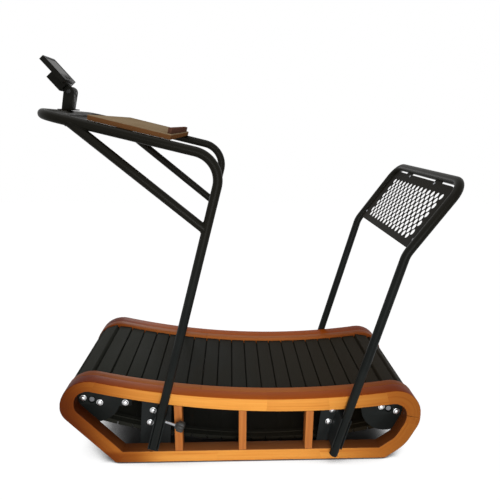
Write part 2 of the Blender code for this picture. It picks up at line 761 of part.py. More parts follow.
def build_bearing_rails(shop, steel, bright):
    """Curved rails with a row of bearings that carry the belts' upper run."""
    count = 11
    stations = [RAIL_FRONT_X + (RAIL_REAR_X - RAIL_FRONT_X) * i / (count - 1) for i in range(count)]
    top = [Vector((x, rail_bottom(x) + RAIL_HEIGHT)) for x in stations]
    bottom = [point - Vector((0.0, RAIL_HEIGHT)) for point in reversed(top)]
    y = BELT_Y + BELT_WIDTH / 2 + PLATE / 2 + BEARING_RAIL_SPACE
    bearings = int((RAIL_REAR_X - RAIL_FRONT_X - 2 * BEARING_RADIUS) / BEARING_PITCH) + 1
    first = (RAIL_FRONT_X + RAIL_REAR_X - (bearings - 1) * BEARING_PITCH) / 2
    for side, sign in SIDES:
        rail = shop.sheet(f"{side}_bearing_rail", [bottom + top], sign * y, PLATE, steel)
        for i in range(bearings):
            x = first + i * BEARING_PITCH
            inner = y - PLATE / 2 - BEARING_WIDTH / 2 + BOLT_SINK
            place = (x, sign * inner, bearing_line(x))
            roller = shop.rod(f"{side}_bearing_{i}", BEARING_RADIUS, BEARING_WIDTH, place, (0, 1, 0), bright,
                              sides=8, cutter=True)
            shop.fuse(rail, roller)


def build_cross_members(shop, steel, front_x, rear_x):
    """Square tubes across the machine, square to the bearing rails that rest on them."""
    half = HALF_WIDTH - SIDE_DEPTH - PLATE - 2 * GAP
    for place, x in (("front", front_x), ("middle", MIDDLE_CROSS_X), ("rear", rear_x)):
        slope = math.asin((x - DECK_LOW_X) / DECK_RADIUS)
        drop = 2 * GAP + CROSS_HEIGHT / 2
        middle = Vector((x, rail_bottom(x))) - Vector((-math.sin(slope), math.cos(slope))) * drop
        reach = half if place != "middle" else BELT_Y + BELT_WIDTH
        at = (middle.x, 0.0, middle.y)
        beam = shop.box(f"{place}_cross_member", (CROSS_WIDTH, 2 * reach, CROSS_HEIGHT), at, steel, turn=-slope)
        hollow = shop.box(f"{place}_cross_hollow",
                          (CROSS_WIDTH - 2 * CROSS_WALL, 2 * reach + CROSS_WIDTH, CROSS_HEIGHT - 2 * CROSS_WALL),
                          at, turn=-slope, cutter=True)
        shop.cut(beam, hollow)


def lean_line(foot_x, lean, z):
    return Vector((foot_x + lean * z, z))


def build_clamp(shop, name, sign, foot_x, lean, low, length, stop, steel, chrome):
    """A base plate on the frame's inner face with a channel that reaches out through the window."""
    along = Vector((lean, 1.0)).normalized()
    turn = math.atan(lean)
    outer_face = HALF_WIDTH - SIDE_DEPTH - GAP
    foot = lean_line(foot_x, lean, low)
    middle = foot + along * (length / 2)
    top = deck_z(middle.x) - INNER_RAIL_HEIGHT - CLAMP_PLATE_TOP_GAP
    outline = [Vector((middle.x - CLAMP_FOOT_FORE, CLAMP_PLATE_BOTTOM)),
               Vector((middle.x + CLAMP_FOOT_AFT, CLAMP_PLATE_BOTTOM)),
               Vector((middle.x + CLAMP_TOP_AFT, top)), Vector((middle.x - CLAMP_TOP_FORE, top))]
    plate = shop.sheet(name, [outline], sign * (outer_face - PLATE / 2), PLATE, steel)
    width = 2 * (TUBE_RADIUS + FIT + CLAMP_WALL)
    out = TUBE_Y + CLAMP_LIP
    reach = out - outer_face + BOLT_SINK
    block = shop.box(f"{name}_channel", (width, reach, length), (middle.x, sign * (out - reach / 2), middle.y),
                     steel, turn=turn, cutter=True)
    shop.fuse(plate, block)
    floor = stop if stop > 0.0 else -CLAMP_OVERRUN
    room = length + CLAMP_OVERRUN - floor
    clear = foot + along * (floor + room / 2)
    bore = shop.rod(f"{name}_bore", TUBE_RADIUS / math.cos(math.pi / BORE_SIDES) + FIT, room,
                    (clear.x, sign * TUBE_Y, clear.y), (along.x, 0.0, along.y), sides=BORE_SIDES, cutter=True)
    mouth = shop.box(f"{name}_mouth", (2 * (TUBE_RADIUS + FIT), CLAMP_MOUTH, room),
                     (clear.x, sign * (TUBE_Y + CLAMP_MOUTH / 2), clear.y), turn=turn, cutter=True)
    shop.cut(plate, bore)
    shop.cut(plate, mouth)
    across = Vector((-along.y, along.x))
    for mark, rise in (("upper", CLAMP_UPPER_BOLT), ("lower", CLAMP_LOWER_BOLT)):
        spot = foot + along * rise + across * CLAMP_BOLT_OFFSET
        shop.fuse(plate, bolt_head(shop, f"{name}_{mark}_bolt", spot.x, spot.y, outer_face, sign, chrome))
    return middle


def knob_axis(sign):
    """Direction of a lock knob's stud: square to the upright, turned a little outward."""
    along = Vector((UPRIGHT_LEAN, 1.0)).normalized()
    turn = math.radians(KNOB_TURN_OUT)
    return Vector((along.y * math.cos(turn), sign * math.sin(turn), -along.x * math.cos(turn)))


def build_lock_knobs(shop, chrome, black):
    """Knobs whose studs press on the uprights through a boss on the clamp."""
    for side, sign in SIDES:
        along = Vector((UPRIGHT_LEAN, 1.0)).normalized()
        seat = lean_line(UPRIGHT_FOOT_X, UPRIGHT_LEAN, CLAMP_BOTTOM_Z) + along * KNOB_HEIGHT
        start = Vector((seat.x, sign * TUBE_Y, seat.y))
        axis = knob_axis(sign)
        near = TUBE_RADIUS + STUD_GAP
        far = KNOB_DISTANCE
        profile = [(0.0, far + KNOB_LENGTH), (KNOB_CROWN_RADIUS, far + KNOB_LENGTH),
                   (KNOB_RADIUS, far + KNOB_GRIP_END), (KNOB_RADIUS, far + KNOB_GRIP_START),
                   (KNOB_NECK_RADIUS, far), (STUD_RADIUS, far), (STUD_RADIUS, near), (0.0, near)]
        knob = shop.turned(f"{side}_lock_knob", profile, start, axis, black, steps=20)
        knob.data.materials.append(chrome)
        clamp = bpy.data.objects[f"{side}_upright_clamp"]
        hole = shop.rod(f"{side}_stud_hole", STUD_RADIUS + STUD_CLEARANCE, KNOB_DISTANCE,
                        start + axis * (KNOB_DISTANCE / 2), axis, cutter=True)
        shop.cut(clamp, hole)


def desk_line(x):
    """Height of the desk tubes' centre line."""
    corner = upright_corner()
    return corner.y - DESK_SLOPE * (x - corner.x)


def upright_corner():
    """Where an upright's centre line meets its desk tube's."""
    return Vector((DESK_BEND_X, (DESK_BEND_X - UPRIGHT_FOOT_X) / UPRIGHT_LEAN))


def upright_foot():
    along = Vector((UPRIGHT_LEAN, 1.0)).normalized()
    return lean_line(UPRIGHT_FOOT_X, UPRIGHT_LEAN, CLAMP_BOTTOM_Z) + along * (CLAMP_STOP + GAP)


def build_desk_frame(shop, black):
    """One bent tube: two uprights, two desk rails and the nose bar that joins them."""
    y = TUBE_Y
    foot = upright_foot()
    corner = upright_corner()
    nose = Vector((NOSE_BAR_X, desk_line(NOSE_BAR_X)))
    corners = [(Vector((foot.x, -y, foot.y)), 0.0), (Vector((corner.x, -y, corner.y)), DESK_BEND_RADIUS),
               (Vector((nose.x, -y, nose.y)), NOSE_CORNER_RADIUS),
               (Vector((nose.x, y, nose.y)), NOSE_CORNER_RADIUS),
               (Vector((corner.x, y, corner.y)), DESK_BEND_RADIUS), (Vector((foot.x, y, foot.y)), 0.0)]
    shop.pipe("desk_frame", fillet(corners, closed=False, step=13.0), TUBE_RADIUS, black)
    low = lean_line(UPRIGHT_FOOT_X, UPRIGHT_LEAN, BRACE_LOW_Z)
    high = Vector((BRACE_HIGH_X, desk_line(BRACE_HIGH_X)))
    rail = Vector((1.0, -DESK_SLOPE)).normalized()
    stem = Vector((UPRIGHT_LEAN, 1.0)).normalized()
    for side, sign in SIDES:
        ends = [Vector((point.x, sign * y, point.y)) for point in (low, high)]
        brace = shop.pipe(f"{side}_brace", ends, BRACE_RADIUS, black)
        for mark, point, along in (("low", low, stem), ("high", high, rail)):
            saddle = shop.rod(f"{side}_{mark}_saddle", TUBE_RADIUS + GAP, SADDLE_LENGTH, (point.x, sign * y, point.y),
                              (along.x, 0.0, along.y), sides=32, cutter=True)
            shop.cut(brace, saddle)


def build_desk_board(shop, wood, dark_wood):
    """The board lies on the desk rails, with a raised strip along its rear edge."""
    tilt = math.atan(DESK_SLOPE)
    up = Vector((math.sin(tilt), math.cos(tilt)))
    middle_x = (BOARD_FRONT_X + BOARD_REAR_X) / 2
    length = (BOARD_REAR_X - BOARD_FRONT_X) / math.cos(tilt)
    lift = TUBE_RADIUS + GAP + BOARD_THICKNESS / 2
    middle = Vector((middle_x, desk_line(middle_x))) + up * lift
    size = (length, 2 * BOARD_HALF_WIDTH, BOARD_THICKNESS)
    shop.box("desk_board", size, (middle.x, 0.0, middle.y), wood, turn=tilt, bevel=BOARD_EDGE)
    along = Vector((up.y, -up.x))
    strip = middle + along * (length / 2 - LEDGE_DEPTH / 2 - LEDGE_SETBACK)
    strip += up * (BOARD_THICKNESS / 2 + GAP + LEDGE_HEIGHT / 2)
    ledge = (LEDGE_DEPTH, 2 * (BOARD_HALF_WIDTH - LEDGE_END_INSET), LEDGE_HEIGHT)
    shop.box("desk_ledge", ledge, (strip.x, 0.0, strip.y), dark_wood, turn=tilt, bevel=BOARD_EDGE)


def post_base():
    """Height of the post's foot on its shoe."""
    return desk_line(NOSE_BAR_X) + TUBE_RADIUS + SHOE_THICKNESS + 2 * GAP


def pivot_place():
    return Vector((NOSE_BAR_X + POST_LEAN * PIVOT_HEIGHT, post_base() + PIVOT_HEIGHT))


def build_post(shop, black, chrome):
    """A shoe on the nose bar and a leaning post, forked at its round top for the console's knuckle."""
    low = post_base()
    shoe_at = (NOSE_BAR_X, 0.0, low - GAP - SHOE_THICKNESS / 2)
    shop.box("post_shoe", (SHOE_LENGTH, SHOE_WIDTH, SHOE_THICKNESS), shoe_at, black, bevel=SHOE_EDGE)
    pivot = pivot_place()
    lean = math.degrees(math.atan(POST_LEAN))
    foot = [Vector((NOSE_BAR_X - POST_DEPTH / 2, low)), Vector((NOSE_BAR_X + POST_DEPTH / 2, low))]
    outline = foot + arc_points(pivot, KNUCKLE_RADIUS, -lean, 180.0 - lean, 15.0)
    post = shop.sheet("console_post", [outline], 0.0, POST_WIDTH, black)
    fork = shop.rod("post_fork", KNUCKLE_RADIUS + KNUCKLE_CLEARANCE, POST_WIDTH - 2 * EAR_THICKNESS,
                    (pivot.x, 0.0, pivot.y), (0, 1, 0), cutter=True)
    bore = shop.rod("ear_bore", PIVOT_RADIUS + FIT, 2 * POST_WIDTH, (pivot.x, 0.0, pivot.y), (0, 1, 0), cutter=True)
    shop.cut(post, fork)
    shop.cut(post, bore)
    head_y = POST_WIDTH / 2 + GAP
    pin = shop.rod("console_pivot_bolt", PIVOT_RADIUS, 2 * head_y + PIVOT_HEAD_THICKNESS, (pivot.x, 0.0, pivot.y),
                   (0, 1, 0), chrome, sides=16)
    for mark, sign in SIDES:
        head = shop.rod(f"{mark}_pivot_head", PIVOT_HEAD_RADIUS, PIVOT_HEAD_THICKNESS,
                        (pivot.x, sign * (head_y + PIVOT_HEAD_THICKNESS / 2), pivot.y), (0, 1, 0), chrome, sides=12,
                        cutter=True)
        shop.fuse(pin, head)


def console_point(up_face, out):
    """A place on the console: a distance up its face and a distance out of it."""
    tilt = math.radians(CONSOLE_TILT)
    face_up = Vector((-math.cos(tilt), math.sin(tilt)))
    normal = Vector((math.sin(tilt), math.cos(tilt)))
    rise = KNUCKLE_RADIUS + CONSOLE_LOW_GAP + up_face
    return pivot_place() + face_up * rise + normal * (CONSOLE_PIVOT_DEPTH + out)


def console_box(shop, name, span, width, depths, material, y=0.0, bevel=0.0, cutter=False):
    """A box on the console, from one distance up its face to another and between two depths."""
    middle = console_point((span[0] + span[1]) / 2, (depths[0] + depths[1]) / 2)
    turn = math.radians(CONSOLE_TILT) - math.pi / 2
    size = (depths[1] - depths[0], width, span[1] - span[0])
    return shop.box(name, size, (middle.x, y, middle.y), material, turn=turn, bevel=bevel, cutter=cutter)


def build_console(shop, black, grey, glass, white):
    """Shell with a bulge at its back, a bezel with the screen set in it, and two keys."""
    shell = console_box(shop, "console_shell", (0.0, CONSOLE_HEIGHT), CONSOLE_WIDTH,
                        (-CONSOLE_DEPTH, -BEZEL_THICKNESS - GAP), black)
    low = EAR_CLEARANCE - CONSOLE_LOW_GAP
    bulge = console_box(shop, "console_bulge", (low, BULGE_HIGH), BULGE_WIDTH,
                        (-CONSOLE_DEPTH - BULGE_DEPTH, -CONSOLE_DEPTH / 2), black, cutter=True)
    shop.fuse(shell, bulge)
    pivot = pivot_place()
    inner = POST_WIDTH - 2 * (EAR_THICKNESS + FIT)
    knuckle = shop.rod("console_knuckle", KNUCKLE_RADIUS, inner, (pivot.x, 0.0, pivot.y), (0, 1, 0), black,
                       sides=20, cutter=True)
    link = console_box(shop, "console_link", (-KNUCKLE_RADIUS - CONSOLE_LOW_GAP, LINK_OVERLAP), inner,
                       (-CONSOLE_PIVOT_DEPTH - LINK_DEPTH / 2, -CONSOLE_PIVOT_DEPTH + LINK_DEPTH / 2), black,
                       cutter=True)
    shop.fuse(shell, knuckle)
    shop.fuse(shell, link)
    bore = shop.rod("knuckle_bore", PIVOT_RADIUS + FIT, 2 * POST_WIDTH, (pivot.x, 0.0, pivot.y), (0, 1, 0),
                    cutter=True)
    shop.cut(shell, bore)
    bezel = console_box(shop, "console_bezel", (0.0, CONSOLE_HEIGHT), CONSOLE_WIDTH, (-BEZEL_THICKNESS, 0.0), grey)
    screen_span = (BEZEL_FOOT, CONSOLE_HEIGHT - BEZEL_BORDER)
    screen_width = CONSOLE_WIDTH - 2 * BEZEL_BORDER
    recess = console_box(shop, "screen_recess", (screen_span[0] - GAP, screen_span[1] + GAP),
                         screen_width + 2 * GAP, (-BEZEL_THICKNESS - 0.01, 0.01), None, cutter=True)
    shop.cut(bezel, recess)
    console_box(shop, "console_screen", screen_span, screen_width, (-BEZEL_THICKNESS, -BEZEL_THICKNESS
                + SCREEN_THICKNESS), glass)
    tilt = math.radians(CONSOLE_TILT)
    normal = (math.sin(tilt), 0.0, math.cos(tilt))
    for name, sign in (("mode_key", -1), ("reset_key", 1)):
        seat = console_point(BEZEL_FOOT / 2, -BEZEL_THICKNESS - GAP)
        at = (seat.x, sign * BUTTON_SPACING / 2, seat.y)
        hole = shop.rod(f"{name}_hole", BUTTON_RADIUS + FIT, 0.02, at, normal, sides=16, cutter=True)
        shop.cut(bezel, hole)
        pocket = shop.rod(f"{name}_pocket", BUTTON_RADIUS + FIT, 2 * (BUTTON_TRAVEL + POCKET_MARGIN), at, normal,
                          sides=16, cutter=True)
        shop.cut(shell, pocket)
        rise = console_point(BEZEL_FOOT / 2, BUTTON_HEIGHT / 2 - BEZEL_THICKNESS - GAP)
        shop.rod(name, BUTTON_RADIUS, BUTTON_HEIGHT, (rise.x, sign * BUTTON_SPACING / 2, rise.y), normal, white,
                 sides=16)


def hoop_points():
    foot = lean_line(HOOP_FOOT_X, HOOP_LEAN, HOOP_FOOT_Z)
    bend = lean_line(HOOP_FOOT_X, HOOP_LEAN, HOOP_BEND_Z)
    return foot, bend, Vector((HOOP_TOP_X, HOOP_TOP_Z))


def build_hoop(shop, black, rubber):
    """The rear hoop, one bent tube with end caps."""
    foot, bend, top = hoop_points()
    y = TUBE_Y
    corners = [(Vector((foot.x, -y, foot.y)), 0.0), (Vector((bend.x, -y, bend.y)), HOOP_BEND_RADIUS),
               (Vector((top.x, -y, top.y)), HOOP_CORNER_RADIUS), (Vector((top.x, y, top.y)), HOOP_CORNER_RADIUS),
               (Vector((bend.x, y, bend.y)), HOOP_BEND_RADIUS), (Vector((foot.x, y, foot.y)), 0.0)]
    shop.pipe("rear_hoop", fillet(corners, closed=False, step=13.0), TUBE_RADIUS, black)
    along = Vector((HOOP_LEAN, 1.0)).normalized()
    for side, sign in SIDES:
        at = foot - along * (GAP + HOOP_CAP_LENGTH / 2)
        shop.rod(f"{side}_hoop_cap", TUBE_RADIUS, HOOP_CAP_LENGTH, (at.x, sign * y, at.y), (along.x, 0.0, along.y),
                 rubber, sides=20)


def build_lean_panel(shop, black):
    """A perforated sheet between the hoop's tubes, with two tabs up to its top bar."""
    foot, bend, top = hoop_points()
    rise = (top - bend).normalized()
    half = TUBE_Y - TUBE_RADIUS - GAP
    tab_top = (top - bend).length - TUBE_RADIUS - GAP
    outline = [(Vector((-half, PANEL_LOW)), PANEL_LOW_CORNER), (Vector((half, PANEL_LOW)), PANEL_LOW_CORNER),
               (Vector((half, PANEL_HIGH)), PANEL_CORNER)]
    for sign in (1, -1):
        inner = sign * TAB_Y - TAB_WIDTH / 2
        outer = sign * TAB_Y + TAB_WIDTH / 2
        outline += [(Vector((outer, PANEL_HIGH)), 0.0), (Vector((outer, tab_top)), TAB_CORNER),
                    (Vector((inner, tab_top)), TAB_CORNER), (Vector((inner, PANEL_HIGH)), 0.0)]
    outline.append((Vector((-half, PANEL_HIGH)), PANEL_CORNER))
    loops = [fillet(outline, step=18.0)]
    for row in range(HOLE_ROWS):
        long_row = row % 2 == 0
        count = HOLES_LONG_ROW if long_row else HOLES_LONG_ROW - 1
        height = PANEL_HIGH - HOLE_TOP_MARGIN - row * HOLE_ROW_PITCH
        for i in range(count):
            center = Vector(((i - (count - 1) / 2) * HOLE_PITCH, height))
            loops.append(arc_points(center, HOLE_RADIUS, 0.0, 300.0, 60.0))
    panel = shop.sheet("lean_panel", loops, 0.0, PANEL_THICKNESS, black)
    across = Vector((0.0, 1.0, 0.0))
    upward = Vector((rise.x, 0.0, rise.y))
    facing = across.cross(upward)
    frame = Matrix((across, upward, facing)).transposed().to_4x4()
    panel.matrix_world = Matrix.Translation((bend.x, 0.0, bend.y)) @ frame


def move_origin(obj, place):
    """Put an object's origin at a place without moving its shape."""
    shift = Vector(place) - obj.location
    turn = obj.rotation_euler.to_matrix().to_4x4()
    obj.data.transform(turn.inverted() @ Matrix.Translation(-shift) @ turn)
    obj.location = place


def set_origins(shop):
    """Each moving piece has its origin on the line it turns about or slides along."""
    foot = upright_foot()
    pivot = pivot_place()
    desk = ("desk_frame", "left_brace", "right_brace", "desk_board", "desk_ledge", "post_shoe", "console_post",
            "console_pivot_bolt")
    for name in desk:
        move_origin(shop.pieces.objects[name], (foot.x, 0.0, foot.y))
    for name in ("console_shell", "console_bezel", "console_screen"):
        move_origin(shop.pieces.objects[name], (pivot.x, 0.0, pivot.y))


def stand_model(shop):
    """Set the model on its feet, centred on the vertical axis."""
    depsgraph = bpy.context.evaluated_depsgraph_get()
    reach = []
    for obj in shop.pieces.objects:
        shape = obj.evaluated_get(depsgraph)
        mesh = shape.to_mesh()
        reach += [(shape.matrix_world @ vert.co).x for vert in mesh.vertices]
        shape.to_mesh_clear()
    shift = Vector((-(min(reach) + max(reach)) / 2, 0.0, FOOT_HEIGHT + GAP))
    for obj in bpy.data.objects:
        obj.location += shift


def build():
    for obj in list(bpy.data.objects):
        bpy.data.objects.remove(obj)
    shop = Workshop()
    wood = principled("oiled_wood", (0.62, 0.33, 0.12), 0.0, 0.45)
    board = principled("desk_wood", (0.48, 0.36, 0.24), 0.0, 0.5)
    edge = principled("edge_wood", (0.36, 0.16, 0.08), 0.0, 0.5)
    slat = principled("slat_rubber", (0.025, 0.024, 0.022), 0.0, 0.75)
    steel = principled("black_steel", (0.035, 0.038, 0.038), 0.6, 0.5)
    tube = principled("black_tube", (0.025, 0.028, 0.026), 0.4, 0.4)
    chrome = principled("chrome", (0.85, 0.85, 0.86), 1.0, 0.15)
    bright = principled("bearing_steel", (0.5, 0.5, 0.52), 1.0, 0.3)
    plastic = principled("black_plastic", (0.03, 0.03, 0.03), 0.0, 0.5)
    grey = principled("grey_plastic", (0.10, 0.10, 0.10), 0.0, 0.4)
    glass = principled("screen_glass", (0.16, 0.17, 0.16), 0.0, 0.15)
    white = principled("key_plastic", (0.45, 0.45, 0.45), 0.0, 0.5)
    rubber = principled("foot_rubber", (0.02, 0.02, 0.02), 0.0, 0.8)

    path = BeltPath()
    build_side_frames(shop, wood)
    build_inner_rails(shop, wood)
    build_feet(shop, rubber)
    build_slat_belt(shop, path, slat)
    build_axles(shop, path, bright, plastic)
    build_side_plates(shop, path, steel, chrome)
    build_bearing_housings(shop, path, steel)
    build_bearing_rails(shop, steel, bright)
    for side, sign in SIDES:
        front = build_clamp(shop, f"{side}_upright_clamp", sign, UPRIGHT_FOOT_X, UPRIGHT_LEAN, CLAMP_BOTTOM_Z,
                            CLAMP_LENGTH, CLAMP_STOP, steel, chrome)
        rear = build_clamp(shop, f"{side}_hoop_clamp", sign, HOOP_FOOT_X, HOOP_LEAN, HOOP_CLAMP_BOTTOM_Z,
                           HOOP_CLAMP_LENGTH, 0.0, steel, chrome)
    build_cross_members(shop, steel, front.x, rear.x)
    build_lock_knobs(shop, chrome, plastic)
    build_desk_frame(shop, tube)
    build_desk_board(shop, board, edge)
    build_post(shop, tube, chrome)
    build_console(shop, plastic, grey, glass, white)
    build_hoop(shop, tube, rubber)
    build_lean_panel(shop, tube)

    set_origins(shop)
    stand_model(shop)


build()
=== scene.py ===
import json
import math

import bmesh
import bpy
from mathutils import Matrix, Vector


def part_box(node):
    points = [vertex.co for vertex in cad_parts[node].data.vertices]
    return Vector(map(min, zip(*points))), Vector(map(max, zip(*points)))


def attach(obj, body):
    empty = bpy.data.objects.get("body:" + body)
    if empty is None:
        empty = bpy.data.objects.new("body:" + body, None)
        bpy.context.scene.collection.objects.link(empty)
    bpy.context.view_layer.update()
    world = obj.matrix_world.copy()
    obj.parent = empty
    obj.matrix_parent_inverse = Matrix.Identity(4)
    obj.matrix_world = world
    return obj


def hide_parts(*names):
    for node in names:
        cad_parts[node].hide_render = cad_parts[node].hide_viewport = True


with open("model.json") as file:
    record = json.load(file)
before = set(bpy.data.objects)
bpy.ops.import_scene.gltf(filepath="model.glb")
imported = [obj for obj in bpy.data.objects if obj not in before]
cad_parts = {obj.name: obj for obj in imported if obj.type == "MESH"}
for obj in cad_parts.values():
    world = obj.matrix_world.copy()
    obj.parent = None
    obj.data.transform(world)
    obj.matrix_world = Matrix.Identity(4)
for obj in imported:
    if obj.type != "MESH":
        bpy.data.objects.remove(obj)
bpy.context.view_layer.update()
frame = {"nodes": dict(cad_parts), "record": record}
print("loaded", len(frame["nodes"]), "solids")

# the side frame's solid tells where the drawing's own origin stands
frameFrontX = -0.80
stand = Vector((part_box("left_side_frame")[0].x - frameFrontX, 0.0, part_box("left_side_frame")[0].z))
sides = (("left", -1), ("right", 1))
bothSides = ("left", "right")
bothEnds = ("front", "rear")
# how far the desk falls for each metre towards the walker
deskSlope = 0.232
# the width that every beam has on its grain map
grainWidth = 0.06


def paint(red, green, blue):
    # a colour as seen on a screen, 0 to 255, in the shader's linear numbers
    tones = []
    for part in (red, green, blue):
        share = part / 255
        tones.append(share / 12.92 if share <= 0.04045 else ((share + 0.055) / 1.055) ** 2.4)
    return (*tones, 1.0)


def grey(tone):
    return (tone, tone, tone, 1.0)


# node graphs, for materials and for geometry

class Value:
    # a node's output that joins in plain arithmetic
    def __init__(self, graph, socket):
        self.graph = graph
        self.socket = socket

    def work(self, operation, first, second=0.0):
        return self.graph.node("ShaderNodeMath", {"operation": operation}, {0: first, 1: second})

    def __add__(self, other):
        return self.work("ADD", self, other)

    def __sub__(self, other):
        return self.work("SUBTRACT", self, other)

    def __rsub__(self, other):
        return self.work("SUBTRACT", other, self)

    def __mul__(self, other):
        return self.work("MULTIPLY", self, other)

    def __truediv__(self, other):
        return self.work("DIVIDE", self, other)

    def __mod__(self, other):
        return self.work("FLOORED_MODULO", self, other)

    def __pow__(self, other):
        return self.work("POWER", self, other)

    def __abs__(self):
        return self.work("ABSOLUTE", self)

    def __gt__(self, other):
        return self.work("GREATER_THAN", self, other)

    def sine(self):
        return self.work("SINE", self)

    def least(self, other):
        return self.work("MINIMUM", self, other)

    def most(self, other):
        return self.work("MAXIMUM", self, other)

    def fade(self, start, end, low=0.0, high=1.0):
        # smooth step from low at start to high at end
        return self.graph.node("ShaderNodeMapRange", {"interpolation_type": "SMOOTHSTEP"},
                               {0: self, 1: start, 2: end, 3: low, 4: high})


class Graph:
    # a tree of nodes, made with their settings and fed with numbers or with each other's outputs
    def feed(self, socket, value):
        if isinstance(value, Value):
            self.tree.links.new(value.socket, socket)
        else:
            socket.default_value = value

    def node(self, kind, settings=None, values=None, output=0):
        made = self.tree.nodes.new(kind)
        for key, value in (settings or {}).items():
            if key == "stops":
                ramp = made.color_ramp
                while len(ramp.elements) > 1:
                    ramp.elements.remove(ramp.elements[-1])
                ramp.elements[0].position, ramp.elements[0].color = value[0]
                for place, color in value[1:]:
                    ramp.elements.new(place).color = color
            elif key == "interpolation":
                made.color_ramp.interpolation = value
            else:
                setattr(made, key, value)
        for key, value in (values or {}).items():
            self.feed(made.inputs[key], value)
        return Value(self, made.outputs[output])

    def vector(self, x, y, z):
        return self.node("ShaderNodeCombineXYZ", values={0: x, 1: y, 2: z})

    def parts(self, vector):
        made = self.node("ShaderNodeSeparateXYZ", values={0: vector})
        return [Value(self, socket) for socket in made.socket.node.outputs]


class Finish(Graph):
    # one material: constants go on the shader's own sockets, patterns of nodes feed the others
    def __init__(self, name, **constants):
        self.material = bpy.data.materials.new(name)
        self.material.use_nodes = True
        self.tree = self.material.node_tree
        self.shader = self.tree.nodes["Principled BSDF"]
        for key, value in constants.items():
            self.shader.inputs[key.replace("_", " ")].default_value = value

    def place(self):
        return self.node("ShaderNodeTexCoord", output=3)

    def grainMap(self):
        return self.node("ShaderNodeUVMap", {"uv_map": "grain"})

    def ramp(self, share, stops):
        # a brightness that jumps from stop to stop
        jumps = self.node("ShaderNodeValToRGB", {"stops": stops, "interpolation": "CONSTANT"}, {0: share})
        return self.node("ShaderNodeRGBToBW", values={0: jumps})

    def noise(self, vector, scale, detail=3.0, roughness=0.5):
        return self.node("ShaderNodeTexNoise", values={"Vector": vector, "Scale": scale, "Detail": detail,
                                                       "Roughness": roughness})

    def mix(self, share, first, second, blend="MIX"):
        return self.node("ShaderNodeMix", {"data_type": "RGBA", "blend_type": blend},
                         {0: share, 6: first, 7: second}, output=2)

    def stretch(self, vector, amounts):
        return self.node("ShaderNodeVectorMath", {"operation": "MULTIPLY"}, {0: vector, 1: amounts})

    def finish(self, color, roughness, height=None, strength=0.2, distance=0.001):
        self.feed(self.shader.inputs["Base Color"], color)
        self.feed(self.shader.inputs["Roughness"], roughness)
        if height is not None:
            bump = self.node("ShaderNodeBump", values={"Height": height, "Strength": strength,
                                                       "Distance": distance})
            self.feed(self.shader.inputs["Normal"], bump)
        return self.material


class Growth(Graph):
    # one Geometry Nodes tree with named inputs
    def __init__(self, name, inputs):
        self.tree = bpy.data.node_groups.new(name, "GeometryNodeTree")
        self.tree.interface.new_socket("Geometry", in_out="INPUT", socket_type="NodeSocketGeometry")
        for label, kind in inputs:
            self.tree.interface.new_socket(label, in_out="INPUT", socket_type="NodeSocket" + kind)
        self.tree.interface.new_socket("Geometry", in_out="OUTPUT", socket_type="NodeSocketGeometry")
        self.start = self.tree.nodes.new("NodeGroupInput")
        self.end = self.tree.nodes.new("NodeGroupOutput")

    def given(self, label):
        return Value(self, self.start.outputs[label])

    def join(self, *pieces):
        made = self.tree.nodes.new("GeometryNodeJoinGeometry")
        for piece in pieces:
            self.tree.links.new(piece.socket, made.inputs[0])
        return Value(self, made.outputs[0])

    def close(self, geometry, material):
        real = self.node("GeometryNodeRealizeInstances", values={0: geometry})
        done = self.node("GeometryNodeSetMaterial", values={"Geometry": real, "Material": material})
        self.tree.links.new(done.socket, self.end.inputs[0])

    def grow(self, host, sizes):
        # the mesh that the tree makes of a host, which goes
        modifier = host.modifiers.new("growth", "NODES")
        modifier.node_group = self.tree
        for item in self.tree.interface.items_tree:
            if item.item_type == "SOCKET" and item.in_out == "INPUT" and item.name in sizes:
                modifier[item.identifier] = sizes[item.name]
        return taken(host)


# mesh helpers

def placed(name, data):
    made = bpy.data.objects.new(name, data)
    bpy.context.scene.collection.objects.link(made)
    return made


def taken(host):
    # the mesh that a host's curve or modifiers make; the host goes
    bpy.context.view_layer.update()
    mesh = bpy.data.meshes.new_from_object(host.evaluated_get(bpy.context.evaluated_depsgraph_get()))
    bpy.data.objects.remove(host)
    return mesh


def asMesh(shape, name):
    mesh = bpy.data.meshes.new(name)
    shape.to_mesh(mesh)
    shape.free()
    return mesh


def show(name, mesh, material, body, replaced=(), smooth=35.0):
    # puts a finished mesh into the scene as one piece of the machine
    mesh.name = name
    mesh.materials.clear()
    mesh.materials.append(material)
    piece = placed(name, mesh)
    mesh.shade_smooth()
    mesh.set_sharp_from_angle(angle=math.radians(smooth))
    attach(piece, body)
    if replaced:
        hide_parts(*replaced)


def joined(name, meshes):
    made = bmesh.new()
    for mesh in meshes:
        made.from_mesh(mesh)
    return asMesh(made, name)


def tidied(shape, name):
    bmesh.ops.remove_doubles(shape, verts=shape.verts, dist=0.00001)
    bmesh.ops.recalc_face_normals(shape, faces=shape.faces)
    return asMesh(shape, name)


def turnPoints(before, corner, after, radius, step, least=1):
    # the arc that rounds a corner, in pieces of at most a step of degrees and no fewer than asked
    back = (before - corner).normalized()
    ahead = (after - corner).normalized()
    half = back.angle(ahead) / 2
    center = corner + (back + ahead).normalized() * (radius / math.sin(half))
    start = corner + back * (radius / math.tan(half)) - center
    end = corner + ahead * (radius / math.tan(half)) - center
    turn = math.pi - 2 * half
    pieces = max(least, math.ceil(math.degrees(turn) / step))
    points = []
    for k in range(pieces + 1):
        first = math.sin((1 - k / pieces) * turn) / math.sin(turn)
        second = math.sin(k / pieces * turn) / math.sin(turn)
        points.append(center + start * first + end * second)
    return points


